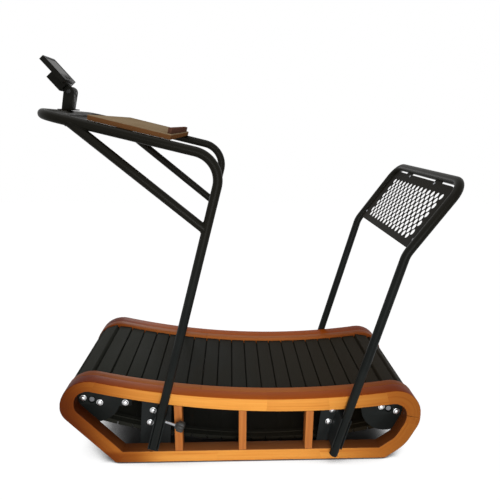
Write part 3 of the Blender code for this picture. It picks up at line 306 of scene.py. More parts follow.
def fillet(corners, step, closed=True):
    # rounds each (point, radius) corner of a path
    points = []
    count = len(corners)
    for i, (corner, radius) in enumerate(corners):
        if radius == 0.0 or (not closed and i in (0, count - 1)):
            points.append(corner.copy())
        else:
            points += turnPoints(corners[i - 1][0], corner, corners[(i + 1) % count][0], radius, step)
    return points


def polyline(name, points, cyclic=False):
    curve = bpy.data.curves.new(name, "CURVE")
    curve.dimensions = "3D"
    spline = curve.splines.new("POLY")
    spline.points.add(len(points) - 1)
    spline.use_cyclic_u = cyclic
    for point, place in zip(spline.points, points):
        point.co = (*place.to_3d(), 1.0)
    return curve


def tube(name, points, radius, sides=32):
    # a round bar along a path, ends closed
    curve = polyline(name, points)
    curve.bevel_depth = radius
    curve.bevel_resolution = sides // 2 - 2
    curve.use_fill_caps = True
    shape = bmesh.new()
    shape.from_mesh(taken(placed(name, curve)))
    return tidied(shape, name)


def turned(name, profile, place, axis, steps=32, lobes=0, lobeDepth=0.0, lobeSpan=None):
    # a (radius, height) profile turned about an axis, with finger lobes where asked
    shape = bmesh.new()
    rings = []
    for radius, height in profile:
        if radius < 1e-7:
            rings.append([shape.verts.new((0.0, 0.0, height))])
            continue
        ring = []
        for i in range(steps):
            angle = 2 * math.pi * i / steps
            reach = radius
            if lobes and lobeSpan[0] <= height <= lobeSpan[1]:
                reach -= lobeDepth * (0.5 - 0.5 * math.cos(lobes * angle)) ** 2
            ring.append(shape.verts.new((reach * math.cos(angle), reach * math.sin(angle), height)))
        rings.append(ring)
    for lower, upper in zip(rings, rings[1:]):
        for i in range(steps):
            k = (i + 1) % steps
            if len(lower) == 1:
                shape.faces.new((lower[0], upper[i], upper[k]))
            elif len(upper) == 1:
                shape.faces.new((lower[k], lower[i], upper[0]))
            else:
                shape.faces.new((lower[k], lower[i], upper[i], upper[k]))
    turn = Vector(axis).to_track_quat("Z", "Y").to_matrix().to_4x4()
    bmesh.ops.transform(shape, matrix=Matrix.Translation(place) @ turn, verts=shape.verts)
    return tidied(shape, name)


def domed(radius, foot, rise, steps):
    # the round crown of a bolt's or a pin's profile, ending on its axis
    crown = [(radius * math.cos(a), foot + rise * math.sin(a))
             for a in (math.pi / 2 * k / steps for k in range(steps))]
    return [*crown, (0.0, foot + rise)]


def mirrored(half):
    # the profile of a piece with the same head at both ends
    return [(radius, -height) for radius, height in reversed(half)] + half


def softened(node, width, segments=2, angle=50.0):
    # a copy of a solid with its edges rounded
    shape = bmesh.new()
    shape.from_mesh(frame["nodes"][node].data)
    bmesh.ops.remove_doubles(shape, verts=shape.verts, dist=0.00001)
    bmesh.ops.dissolve_limit(shape, angle_limit=math.radians(1.0), verts=shape.verts, edges=shape.edges)
    name = node + "_soft"
    host = placed(name, asMesh(shape, name))
    bevel = host.modifiers.new("edges", "BEVEL")
    bevel.width = width
    bevel.segments = segments
    bevel.limit_method = "ANGLE"
    bevel.angle_limit = math.radians(angle)
    return taken(host)


def edgeRound(radius, steps=3):
    # a quarter round as distances from the outline and from the face
    return [(radius * (1 - math.cos(a)), radius * (1 - math.sin(a)))
            for a in (math.pi / 2 * k / steps for k in range(steps + 1))]


def sweptBeam(name, outer, inner, depthLow, depthHigh, radii, closed=True):
    # a beam between two paired outlines in the XZ plane, rounded at its four edges by a radius
    # for the low and one for the high side. Its "grain" map holds metres along the beam and across it
    low, high = edgeRound(radii[0]), edgeRound(radii[1])
    # the section's points: whether measured from the outer line, the distance from the line, and Y
    rim = []
    rim += [(True, out, depthLow + rise) for out, rise in reversed(low)]
    rim += [(True, out, depthHigh - rise) for out, rise in high]
    rim += [(False, out, depthHigh - rise) for out, rise in reversed(high)]
    rim += [(False, out, depthLow + rise) for out, rise in low]
    shape = bmesh.new()
    grain = shape.loops.layers.uv.new("grain")
    stations = []
    run = 0.0
    for i, (far, near) in enumerate(zip(outer, inner)):
        middle = (far + near) / 2
        if i:
            run += (middle - (outer[i - 1] + inner[i - 1]) / 2).length
        width = (near - far).length
        toward = (near - far) / width
        ring = []
        for fromOuter, out, y in rim:
            spot = far + toward * out if fromOuter else near - toward * out
            share = out / width if fromOuter else 1 - out / width
            vert = shape.verts.new((spot.x + stand.x, y, spot.y + stand.z))
            ring.append((vert, share * grainWidth))
        stations.append((run, ring))
    if closed:
        last = (outer[-1] + inner[-1]) / 2
        total = run + ((outer[0] + inner[0]) / 2 - last).length
        stations.append((total, stations[0][1]))
    count = len(rim)
    for (runA, ringA), (runB, ringB) in zip(stations, stations[1:]):
        for k in range(count):
            m = (k + 1) % count
            corners = ((ringA[k], runA), (ringA[m], runA), (ringB[m], runB), (ringB[k], runB))
            face = shape.faces.new([item[0][0] for item in corners])
            for loop, (item, along) in zip(face.loops, corners):
                loop[grain].uv = (along, item[1])
    if not closed:
        for run, ring in (stations[0], stations[-1]):
            face = shape.faces.new([item[0] for item in ring])
            for loop, item in zip(face.loops, ring):
                loop[grain].uv = (run, item[1])
    bmesh.ops.recalc_face_normals(shape, faces=shape.faces)
    return asMesh(shape, name), stations[-1][0]


# camera

cameraSizes = {"place": (-0.055, -2.23417, 1.480), "lens": 34.591, "sensor": 36.0,
               "yaw": 0.0412881, "pitch": 0.2553561, "roll": 0.0095966}


def makeCamera(sizes):
    yaw, pitch, roll = sizes["yaw"], sizes["pitch"], sizes["roll"]
    forward = Vector((math.sin(yaw) * math.cos(pitch), math.cos(yaw) * math.cos(pitch), -math.sin(pitch)))
    right = Vector((math.cos(yaw), -math.sin(yaw), 0.0))
    up = right.cross(forward)
    across = math.cos(roll) * right + math.sin(roll) * up
    upward = -math.sin(roll) * right + math.cos(roll) * up
    data = bpy.data.cameras.new("standing_view")
    data.lens = sizes["lens"]
    data.sensor_width = sizes["sensor"]
    camera = placed("standing_view", data)
    turn = Matrix((across, upward, -forward)).transposed().to_4x4()
    camera.matrix_world = Matrix.Translation(Vector(sizes["place"]) + stand) @ turn
    bpy.context.scene.camera = camera
    print("camera ready")


# studio

studioSizes = {"floor": 14.0, "paper": 0.80, "ambient": 0.36, "worldMirrored": 0.8, "floorSeen": 0.88,
               "floorMirrored": 0.5, "coverReach": 0.45, "coverSamples": 24, "cover": (0.26, 0.53),
               "coverTones": (0.04, 1.12), "underMiddle": 0.025, "underEnds": (0.56, 0.70),
               "underSides": (0.29, 0.36)}
# lamp: power, size, place, aim, spread
lampSizes = {"key_box": (6.0, 1.2, (0.05, -2.6, 0.9), (0.02, -0.3, 0.35), 62.0),
             "back_box": (8.0, 0.6, (-0.75, 2.8, 1.5), (-0.4, 0.3, 0.4), 180.0),
             "top_box": (9.0, 1.6, (-0.4, -0.4, 3.2), (0.0, 0.0, 0.6), 180.0)}


def areaLight(name, power, size, place, aim, spread):
    data = bpy.data.lights.new(name, "AREA")
    data.energy = power
    data.size = size
    data.spread = math.radians(spread)
    lamp = placed(name, data)
    lamp.location = place
    lamp.rotation_euler = (Vector(aim) - Vector(place)).to_track_quat("-Z", "Y").to_euler()


class Stage(Graph):
    # the shader tree of the white backdrop or of the floor
    def __init__(self, tree):
        self.tree = tree

    def seen(self):
        # whether a ray comes from the camera, from a mirror or through glass
        path = self.tree.nodes.new("ShaderNodeLightPath")
        return [Value(self, path.outputs[label]) for label in
                ("Is Camera Ray", "Is Glossy Ray", "Is Transmission Ray")]


def makeBackdrop(sizes):
    # plain white to the eye, dimmer as a light on the machine
    world = bpy.data.worlds.new("studio")
    bpy.context.scene.world = world
    world.use_nodes = True
    stage = Stage(world.node_tree)
    background = world.node_tree.nodes["Background"]
    camera, glossy, through = stage.seen()
    seen = camera.most(glossy * sizes["worldMirrored"]).most(through)
    stage.feed(background.inputs["Strength"], seen * (1.0 - sizes["ambient"]) + sizes["ambient"])
    background.inputs["Color"].default_value = grey(1.0)


def floorPaper(sizes):
    # white paper with a painted shadow where the machine covers it closely
    paper = bpy.data.materials.new("pale_floor")
    paper.use_nodes = True
    stage = Stage(paper.node_tree)
    paper.node_tree.nodes.clear()
    camera, glossy, through = stage.seen()
    matt = stage.node("ShaderNodeBsdfDiffuse", values={"Color": grey(sizes["paper"])})
    # painted shadow: the glow that the camera sees dims with occlusion and fades out under the machine's
    # footprint
    openness = stage.node("ShaderNodeAmbientOcclusion", {"samples": sizes["coverSamples"]},
                          {"Distance": sizes["coverReach"]}, output=1)
    x, y = stage.parts(stage.node("ShaderNodeTexCoord", output=3))[:2]
    outsidePaintedShadow = abs(x - sizes["underMiddle"]).fade(*sizes["underEnds"]).most(abs(y).fade(*sizes["underSides"]))
    strength = openness.fade(*sizes["cover"], *sizes["coverTones"]) * outsidePaintedShadow
    bright = stage.node("ShaderNodeEmission", values={"Color": grey(1.0), "Strength": strength})
    share = camera.most(through) * sizes["floorSeen"] + glossy * sizes["floorMirrored"]
    both = stage.node("ShaderNodeMixShader", values={0: share.least(1.0), 1: matt, 2: bright})
    end = paper.node_tree.nodes.new("ShaderNodeOutputMaterial")
    stage.feed(end.inputs["Surface"], both)
    return paper


def makeStudio(sizes):
    makeBackdrop(sizes)
    shape = bmesh.new()
    bmesh.ops.create_grid(shape, x_segments=2, y_segments=2, size=sizes["floor"] / 2)
    floor = placed("floor", tidied(shape, "floor"))
    floor.data.materials.append(floorPaper(sizes))
    for name, lamp in lampSizes.items():
        areaLight(name, *lamp)
    bpy.context.scene.view_settings.view_transform = "Standard"
    print("studio ready")


# finishes

# the half width of a glued seam, the edges on the grain map, and where the painted shade fades in along the
# machine and at the toe
beamTones = {"seam": 0.0006, "outerEdge": (0.0004, 0.0030), "innerEdge": (0.0570, 0.0596),
             "lean": 0.2, "setback": 0.074, "front": (-0.84, -0.42), "rear": (0.22, 0.74),
             "toe": 0.42, "toeHeight": (0.045, 0.075), "toeReach": (-0.52, -0.36),
             "greenFall": 1.45, "blueFall": 1.9}


def beamWood(name, seams, endShade, top, sideShare=1.0, seamShare=0.4):
    # varnished blocks glued end to end; the map runs along the beam, across it, and the depth is Y
    b = beamTones
    wood = Finish(name, Coat_Weight=0.05, Coat_Roughness=0.25, Specular_IOR_Level=0.07)
    x, y, z = wood.parts(wood.place())
    along, across = wood.parts(wood.grainMap())[:2]
    length = seams["length"]
    blockStops = [(0.0, grey(0.5))]
    seamStops = [(0.0, grey(0.0))]
    for place, shade in seams["blocks"]:
        blockStops.append((place / length, grey(shade)))
        seamStops.append(((place - b["seam"]) / length, grey(1.0)))
        seamStops.append(((place + b["seam"]) / length, grey(0.0)))
    tone = wood.ramp(along / length, blockStops)
    line = wood.ramp(along / length, seamStops)
    # each block shows another stretch of the same timber: rings, fibres, flecks, clouds and streaks
    run = along + tone * 13.0
    wander = wood.noise(wood.vector(run * 2.2, across * 16.0, y * 16.0), 1.0, 3.0, 0.55)
    spread = wood.noise(wood.vector(run * 0.9, across * 5.0, y * 5.0), 1.0, 2.0)
    rings = ((across + wander * 0.05 + tone * 0.05) * 330.0 + y * 90.0).sine() * 0.5 + 0.5
    rings = rings * spread.fade(0.35, 0.70)
    fibre = wood.noise(wood.vector(run * 9.0, across * 260.0, y * 260.0), 1.0, 5.0, 0.6)
    fleck = wood.noise(wood.vector(run * 60.0, across * 1400.0, y * 1400.0), 1.0, 2.0, 0.6)
    cloud = wood.noise(wood.vector(run * 1.3, across * 14.0, y * 14.0), 1.0, 3.0)
    streak = wood.noise(wood.vector(run * 1.7, across * 85.0, y * 85.0), 1.0, 3.0, 0.6)
    face = wood.mix(rings * 0.35 + fibre * 0.45, paint(252, 178, 82), paint(229, 140, 54))
    face = wood.mix(cloud.fade(0.42, 0.72) * 0.45, face, paint(215, 125, 46))
    face = wood.mix(streak.fade(0.52, 0.70) * 0.40, face, paint(199, 109, 38))
    face = wood.mix(streak.fade(0.30, 0.46, 1.0, 0.0) * 0.30, face, paint(255, 194, 98))
    face = wood.mix(fleck.fade(0.60, 0.78) * 0.30, face, paint(165, 92, 33))
    # the beam's outer and inner edges are darker than its face, partly as painted shade, and its ends and
    # toe get painted shade
    outside = wood.mix(fibre * 0.6 + streak * 0.4, top[0], top[1])
    inside = wood.mix(fibre * 0.7 + rings * 0.3, paint(160, 101, 57), paint(122, 73, 38))
    outer = across.fade(*b["outerEdge"], 1.0, 0.0).most(1.0 - sideShare)
    inner = across.fade(*b["innerEdge"])
    color = wood.mix(inner, wood.mix(outer, face, outside), inside)
    # painted shade: the wood darkens and grows more saturated towards both ends and at the low front toe
    front = x + z * b["lean"] - b["setback"]
    toe = z.fade(*b["toeHeight"], b["toe"], 0.0) * x.fade(*b["toeReach"], 1.0, 0.0)
    shade = front.fade(*b["front"], endShade[0], 1.0) * x.fade(*b["rear"], 1.0, endShade[1]) * (1.0 - toe)
    paintedShadeTint = wood.node("ShaderNodeCombineColor", values={0: shade, 1: shade ** b["greenFall"],
                                                         2: shade ** b["blueFall"]})
    color = wood.mix(1.0, color, paintedShadeTint, "MULTIPLY")
    color = wood.mix((tone - 0.5) * 0.6 + 0.10, color, paint(150, 70, 24), "MULTIPLY")
    color = wood.mix(line * seamShare, color, paint(70, 34, 14))
    rough = fibre * 0.16 + 0.36 + cloud * 0.10
    return wood.finish(color, rough, fibre * 0.6 + fleck * 0.3 - line * 0.8, 0.12, 0.0006)


def plainWood(name, light, dark, vein, turn, coat, specular):
    # straight-grained timber whose grain runs along the turned X
    wood = Finish(name, Coat_Weight=coat, Coat_Roughness=0.25, Specular_IOR_Level=specular)
    place = wood.node("ShaderNodeMapping", {"vector_type": "TEXTURE"},
                      {"Vector": wood.place(), "Rotation": tuple(math.radians(a) for a in turn)})
    x, y, z = wood.parts(place)
    wander = wood.noise(wood.vector(x * 1.8, y * 8.0, z * 8.0), 1.0, 2.0)
    rings = ((y + wander * 0.02) * 560.0 + z * 240.0).sine() * 0.5 + 0.5
    fibre = wood.noise(wood.vector(x * 10.0, y * 280.0, z * 280.0), 1.0, 5.0, 0.6)
    fleck = wood.noise(wood.vector(x * 60.0, y * 1300.0, z * 1300.0), 1.0, 2.0, 0.6)
    cloud = wood.noise(wood.vector(x * 1.5, y * 12.0, z * 12.0), 1.0, 3.0)
    color = wood.mix(rings * 0.4 + fibre * 0.5, light, dark)
    color = wood.mix(cloud.fade(0.40, 0.75) * 0.4, color, dark)
    color = wood.mix(fleck.fade(0.60, 0.78) * 0.4, color, vein)
    rough = fibre * 0.18 + 0.36 + cloud * 0.08
    return wood.finish(color, rough, fibre * 0.6 + fleck * 0.3, 0.12, 0.0006)


boardTones = {"topStart": 0.0062, "topFull": 0.0086}


def boardWood():
    # pale top, lightened as a painted sheen, dark sawn edges; the grain runs across the machine
    wood = Finish("desk_board_wood", Specular_IOR_Level=0.0)
    low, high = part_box("desk_board")
    tilt = math.atan(deskSlope)
    middle = (low + high) / 2
    x, y, z = wood.parts(wood.place())
    lift = (x - middle.x) * math.sin(tilt) + (z - middle.z) * math.cos(tilt)
    ahead = (x - middle.x) * math.cos(tilt) - (z - middle.z) * math.sin(tilt)
    wander = wood.noise(wood.vector(ahead * 8.0, y * 1.6, lift * 8.0), 1.0, 2.0)
    rings = ((ahead + wander * 0.03) * 420.0 + lift * 240.0).sine() * 0.5 + 0.5
    fibre = wood.noise(wood.vector(ahead * 260.0, y * 9.0, lift * 260.0), 1.0, 5.0, 0.6)
    cloud = wood.noise(wood.vector(ahead * 10.0, y * 1.4, lift * 10.0), 1.0, 3.0)
    # painted sheen: the top's pale colours stand in for the sheen off the wood
    top = wood.mix(rings * 0.3 + fibre * 0.5, paint(178, 156, 126), paint(152, 128, 98))
    top = wood.mix(cloud.fade(0.40, 0.75) * 0.4, top, paint(140, 114, 84))
    side = wood.mix(fibre * 0.6 + cloud * 0.2, paint(150, 102, 62), paint(108, 70, 42))
    color = wood.mix(lift.fade(boardTones["topStart"], boardTones["topFull"]), side, top)
    return wood.finish(color, fibre * 0.16 + 0.4 + cloud * 0.08, fibre * 0.6 + rings * 0.2, 0.10, 0.0005)


def slatRubber():
    # ribbed tread rubber, ribs across the slats, lightly scuffed, warmer towards the rear and lightened at
    # the front by painted light
    rubber = Finish("tread_rubber", Specular_IOR_Level=0.06)
    x, y = rubber.parts(rubber.place())[:2]
    grit = rubber.noise(rubber.place(), 900.0, 2.0, 0.7)
    patch = rubber.noise(rubber.stretch(rubber.place(), (9.0, 3.0, 9.0)), 1.0, 4.0, 0.55)
    ribs = ((y * 1250.0).sine() * 0.5 + 0.5).fade(0.25, 0.75)
    drag = rubber.stretch(rubber.place(), (160.0, 12.0, 160.0))
    scuff = rubber.noise(drag, 1.0, 4.0, 0.65).fade(0.66, 0.82)
    warm = x.fade(-0.30, 0.45)
    color = rubber.mix(warm, paint(31, 32, 28), paint(36, 30, 20))
    color = rubber.mix(patch.fade(0.35, 0.75) * 0.5, color, paint(42, 39, 32))
    # painted light: the front slats are lightened where the deck lies in shade
    color = rubber.mix(x.fade(-0.60, -0.30, 0.7, 0.0), color, paint(46, 47, 41))
    color = rubber.mix(scuff * 0.2, color, paint(92, 86, 74))
    rough = patch * 0.2 + 0.52 + grit * 0.1
    return rubber.finish(color, rough, ribs * 0.5 + grit * 0.35, 0.35, 0.0005)


# between these heights the coat turns to its upper, browner tone
upperToneHeights = (0.75, 1.20)


def paintedSteel(name, color, worn, rough, specular, upper=None):
    # powder coat: fine orange peel, faint cloudiness and rubbed spots
    steel = Finish(name, Specular_IOR_Level=specular)
    place = steel.place()
    if upper:
        raised = steel.parts(place)[2].fade(*upperToneHeights)
        color = steel.mix(raised, color, upper)
        worn = steel.mix(raised, worn, upper)
    peel = steel.noise(place, 420.0, 2.0, 0.5)
    cloud = steel.noise(place, 7.0, 4.0, 0.55)
    rub = steel.noise(place, 38.0, 4.0, 0.6).fade(0.64, 0.84)
    tint = steel.mix(cloud.fade(0.30, 0.75) * 0.5, color, worn)
    tint = steel.mix(rub * 0.2, tint, worn)
    return steel.finish(tint, cloud * 0.12 + rough - 0.06 + rub * 0.06, peel, 0.03, 0.0003)


def brightMetal(name, color, rough, brushed=0.0):
    metal = Finish(name, Metallic=1.0)
    place = metal.place()
    smear = metal.noise(place, 60.0, 4.0, 0.6)
    brush = metal.noise(metal.stretch(place, (900.0, 20.0, 900.0)), 1.0, 3.0, 0.6)
    dull = metal.mix(smear.fade(0.45, 0.75) * 0.35, color, paint(150, 152, 155))
    return metal.finish(dull, smear * 0.12 + rough + brush * brushed, brush, 0.04 + brushed, 0.0002)


def mouldedPlastic(name, color, soft, rough, specular):
    plastic = Finish(name, Specular_IOR_Level=specular)
    place = plastic.place()
    grain = plastic.noise(place, 1500.0, 2.0, 0.6)
    cloud = plastic.noise(place, 30.0, 3.0, 0.5)
    tint = plastic.mix(cloud.fade(0.3, 0.8) * 0.6, color, soft)
    return plastic.finish(tint, cloud * 0.14 + rough - 0.07, grain, 0.14, 0.0003)


# the display's grey field ends between these distances from its middle line
fieldEdge = (0.0500, 0.0510)


def displayGlass():
    # grey liquid crystal behind a glossy pane, its field framed by a darker border
    glass = Finish("display_glass", Coat_Weight=0.04, Coat_Roughness=0.10, Specular_IOR_Level=0.03)
    place = glass.place()
    y = glass.parts(place)[1]
    cloud = glass.noise(place, 40.0, 3.0, 0.5)
    cells = glass.noise(place, 2600.0, 1.0, 0.5)
    field = abs(y).fade(*fieldEdge, 1.0, 0.0)
    color = glass.mix(cloud * 0.5, paint(56, 55, 48), paint(44, 44, 39))
    color = glass.mix(field, paint(24, 25, 24), color)
    color = glass.mix(cells.fade(0.4, 0.7) * 0.12, color, paint(50, 52, 48))
    return glass.finish(color, cloud * 0.08 + 0.16, cells, 0.02, 0.0001)


# where the blocks of a beam meet, in metres along it, and the tone of the block that starts there
frameSeams = {"length": 3.75,
              "blocks": [(0.18, 0.44), (0.52, 0.52), (0.95, 0.58), (1.42, 0.47), (1.90, 0.55),
                         (2.12, 0.46), (2.38, 0.56), (2.66, 0.45), (3.10, 0.54), (3.50, 0.50)]}
railSeams = {"length": 2.1,
             "blocks": [(0.16, 0.56), (0.60, 0.46), (1.05, 0.55), (1.50, 0.47), (1.86, 0.53)]}

finishes = {
    # each beam's darker top colours are partly painted shade; the end pair sets the painted shade at its
    # ends
    "frameWood": beamWood("frame_beam_wood", frameSeams, (0.17, 0.53),
                          (paint(196, 96, 12), paint(162, 74, 8))),
    "railWood": beamWood("deck_edge_wood", railSeams, (0.45, 0.60),
                         (paint(196, 114, 52), paint(160, 88, 36)), sideShare=0.0, seamShare=0.15),
    "dividerWood": plainWood("divider_wood", paint(204, 128, 64), paint(172, 98, 44), paint(120, 62, 26),
                             (0.0, 90.0, 0.0), 0.05, 0.1),
    "boardWood": boardWood(),
    "ledgeWood": plainWood("ledge_wood", paint(130, 92, 76), paint(100, 68, 56), paint(66, 42, 34),
                           (0.0, 0.0, 90.0), 0.0, 0.0),
    "rubber": slatRubber(),
    "tube": paintedSteel("black_powder_coat", paint(20, 23, 22), paint(32, 35, 33), 0.40, 0.10,
                         paint(27, 25, 18)),
    "plate": paintedSteel("dark_steel_paint", paint(26, 29, 28), paint(38, 41, 40), 0.42, 0.1),
    "clamp": paintedSteel("clamp_paint", paint(32, 35, 35), paint(44, 47, 47), 0.42, 0.1),
    "chassis": paintedSteel("chassis_paint", paint(14, 15, 15), paint(26, 27, 26), 0.5, 0.1),
    "panel": paintedSteel("panel_paint", paint(24, 21, 15), paint(36, 32, 24), 0.5, 0.03),
    "chrome": brightMetal("bolt_chrome", paint(246, 247, 248), 0.28),
    "bearing": brightMetal("bearing_steel", paint(150, 152, 156), 0.30, 0.08),
    "plastic": mouldedPlastic("black_plastic", paint(36, 36, 32), paint(50, 50, 45), 0.5, 0.05),
    "grip": mouldedPlastic("knob_plastic", paint(48, 48, 47), paint(66, 66, 64), 0.42, 0.3),
    "grey": mouldedPlastic("grey_plastic", paint(30, 30, 28), paint(44, 43, 40), 0.42, 0.06),
    "glass": displayGlass(),
    "key": mouldedPlastic("key_plastic", paint(84, 84, 80), paint(104, 103, 98), 0.45, 0.08),
    "foot": mouldedPlastic("foot_rubber", paint(20, 20, 20), paint(32, 32, 31), 0.8, 0.15),
}
print("finishes ready:", len(finishes))

# wooden frames

outline = {"front": frameFrontX, "rear": 0.80, "footFront": -0.574, "kneeZ": 0.245, "footRear": 0.655,
           "heel": (0.743, 0.066), "hipZ": 0.180, "deckRadius": 3.647, "deckLow": (0.180, 0.310),
           "nose": 0.130, "knee": 0.085, "tail": 0.120, "hip": 0.110, "ankle": 0.180, "sole": 0.006,
           "windowNose": 0.060, "windowKnee": 0.045, "windowSole": 0.008, "windowHeel": 0.090,
           "windowHip": 0.110, "halfWidth": 0.360, "depth": 0.060, "bottom": 0.056, "ends": 0.064,
           "top": (0.051, 0.068), "curveStart": 1.4, "softEdge": 0.0035, "hiddenEdge": 0.0008,
           "dividerEdge": 0.002, "turnSteps": 10, "deckSteps": 30, "longest": 0.05}


def deckHeight(x):
    reach = outline["deckRadius"]
    return outline["deckLow"][1] + reach - math.sqrt(reach ** 2 - (x - outline["deckLow"][0]) ** 2)


def topBeam(x):
    share = (x - outline["front"]) / (outline["rear"] - outline["front"])
    return outline["top"][0] + share * (outline["top"][1] - outline["top"][0])


def pairedLoops(outerCorners, innerCorners, closed=True):
    # both outlines with the same number of points, so that they can be bridged
    count = len(outerCorners)
    loops = [[], []]
    arcs = [[], []]
    for side, corners in enumerate((outerCorners, innerCorners)):
        for i, (corner, radius) in enumerate(corners):
            if outerCorners[i][1] == 0.0 or (not closed and i in (0, count - 1)):
                arcs[side].append([corner.copy()])
            else:
                before = corners[i - 1][0]
                after = corners[(i + 1) % count][0]
                arcs[side].append(turnPoints(before, corner, after, radius, 360.0, outline["turnSteps"]))
    for i in range(count):
        k = (i + 1) % count
        for side in (0, 1):
            loops[side] += arcs[side][i]
        if not closed and i == count - 1:
            break
        cuts = max(1, math.ceil((arcs[0][k][0] - arcs[0][i][-1]).length / outline["longest"]))
        for side in (0, 1):
            start, end = arcs[side][i][-1], arcs[side][k][0]
            loops[side] += [start.lerp(end, j / cuts) for j in range(1, cuts)]
    return loops


def insetCorner(before, corner, after, depthBefore, depthAfter):
    # where the lines that lie inside a corner's two edges meet
    alongA = (corner - before).normalized()
    alongB = (after - corner).normalized()
    normalA = Vector((-alongA.y, alongA.x))
    normalB = Vector((-alongB.y, alongB.x))
    a = corner + normalA * depthBefore
    b = corner + normalB * depthAfter
    return a + alongA * ((b - a).dot(normalB) / alongA.dot(normalB))


def deckPoints(depth, front, rear):
    # the deck's curve from the rear to the front, each point lowered by its depth
    steps = outline["deckSteps"]
    return [(Vector((x, deckHeight(x) - depth(x))), 0.0)
            for x in (rear + (front - rear) * i / steps for i in range(steps + 1))]


def frameCorners():
    o = outline
    return [Vector((o["front"], deckHeight(o["front"]))), Vector((o["front"], o["kneeZ"])),
            Vector((o["footFront"], 0.0)), Vector((o["footRear"], 0.0)), Vector(o["heel"]),
            Vector((o["rear"], o["hipZ"])), Vector((o["rear"], deckHeight(o["rear"])))]


def frameLoops():
    o = outline
    edges = frameCorners()
    radii = [o["nose"], o["knee"], o["sole"], o["sole"], o["ankle"], o["hip"], o["tail"]]
    outer = list(zip(edges, radii))
    outer += deckPoints(lambda x: 0.0, o["front"] + o["nose"] * o["curveStart"],
                        o["rear"] - o["tail"] * o["curveStart"])
    depths = [o["ends"], o["ends"], o["bottom"], o["ends"], o["ends"], o["ends"]]
    moved = [insetCorner(edges[i - 1], edges[i], edges[i + 1], depths[i - 1], depths[i])
             for i in range(1, len(depths))]
    front = o["front"] + o["ends"]
    rear = o["rear"] - o["ends"]
    nose = Vector((front, deckHeight(front) - topBeam(front)))
    tail = Vector((rear, deckHeight(rear) - topBeam(rear)))
    corners = [nose, *moved, tail]
    radii = [o["windowNose"], o["windowKnee"], o["windowSole"], o["windowSole"], o["windowHeel"],
             o["windowHip"], o["windowNose"]]
    inner = list(zip(corners, radii))
    reach = o["windowNose"] * o["curveStart"]
    inner += deckPoints(topBeam, front + reach, rear - reach)
    return pairedLoops(outer, inner)


def makeSideFrames():
    outer, inner = frameLoops()
    near, far = outline["halfWidth"], outline["halfWidth"] - outline["depth"]
    for side, sign in sides:
        low, high = sorted((sign * near, sign * far))
        radii = (outline["softEdge"], outline["hiddenEdge"])[::-sign]
        mesh, total = sweptBeam(f"{side}FrameBeam", outer, inner, low, high, radii)
        show(f"{side}FrameBeam", mesh, finishes["frameWood"], "frame",
             (f"{side}_side_frame",), 50)
    print("side frames: grain runs", round(total, 3), "m")


railSizes = {"height": 0.032, "width": 0.039, "frontCut": (-0.9, 0.300), "rearCut": (0.9, 0.225),
             "gap": 0.0003, "softEdge": 0.003}


def makeDeckRails():
    o, r = outline, railSizes
    depth = r["height"]

    def cutHeight(x):
        # a rail's ends stop at a line that falls towards the rear
        (frontX, frontZ), (rearX, rearZ) = r["frontCut"], r["rearCut"]
        return frontZ + (rearZ - frontZ) * (x - frontX) / (rearX - frontX)

    loops = []
    for inset in (0.0, depth):
        front, rear = o["front"] + inset, o["rear"] - inset
        nose = o["nose"] - inset
        tail = nose if inset else o["tail"]
        corners = [(Vector((rear, cutHeight(rear))), 0.0), (Vector((rear, deckHeight(rear) - inset)), tail)]
        corners += deckPoints(lambda x: inset, front + nose * o["curveStart"], rear - tail * o["curveStart"])
        corners.append((Vector((front, deckHeight(front) - inset)), nose))
        corners.append((Vector((front, cutHeight(front))), 0.0))
        loops.append(corners)
    outer, inner = pairedLoops(loops[0], loops[1], closed=False)
    near = o["halfWidth"] - o["depth"] - r["gap"]
    for side, sign in sides:
        low, high = sorted((sign * near, sign * (near - r["width"] + r["gap"])))
        radii = (outline["hiddenEdge"], r["softEdge"])[::-sign]
        mesh, total = sweptBeam(f"{side}DeckRail", outer, inner, low, high, radii, closed=False)
        show(f"{side}DeckRail", mesh, finishes["railWood"], "frame",
             (f"{side}_inner_rail",), 50)
    print("deck rails: grain runs", round(total, 3), "m")


def makeDividers():
    for side in bothSides:
        names = [f"{side}_{place}_divider" for place in ("front", "middle", "rear")]
        mesh = joined(f"{side}Dividers", [softened(name, outline["dividerEdge"]) for name in names])
        show(f"{side}Dividers", mesh, finishes["dividerWood"], "frame", names)
    print("dividers ready")


# slat belt

beltSizes = {"slatPitch": 0.0693, "slatGap": 0.004, "thickness": 0.020, "taper": 0.0012, "drop": 0.011,
             "phase": 0.055, "endClearance": 0.004, "bodyGap": 0.0001, "grooveDepth": 0.0155,
             "bandThickness": 0.005, "bandWidth": 0.022, "bandInset": 0.084, "bandSeat": 0.001,
             "pulley": 0.090, "clearance": 0.0012, "axleFront": -0.678, "axleRear": 0.674, "lowerRun": 0.051,
             "softEdge": 0.0020, "softBody": 0.0008, "softStep": 0.0004, "softEnd": 0.0015}


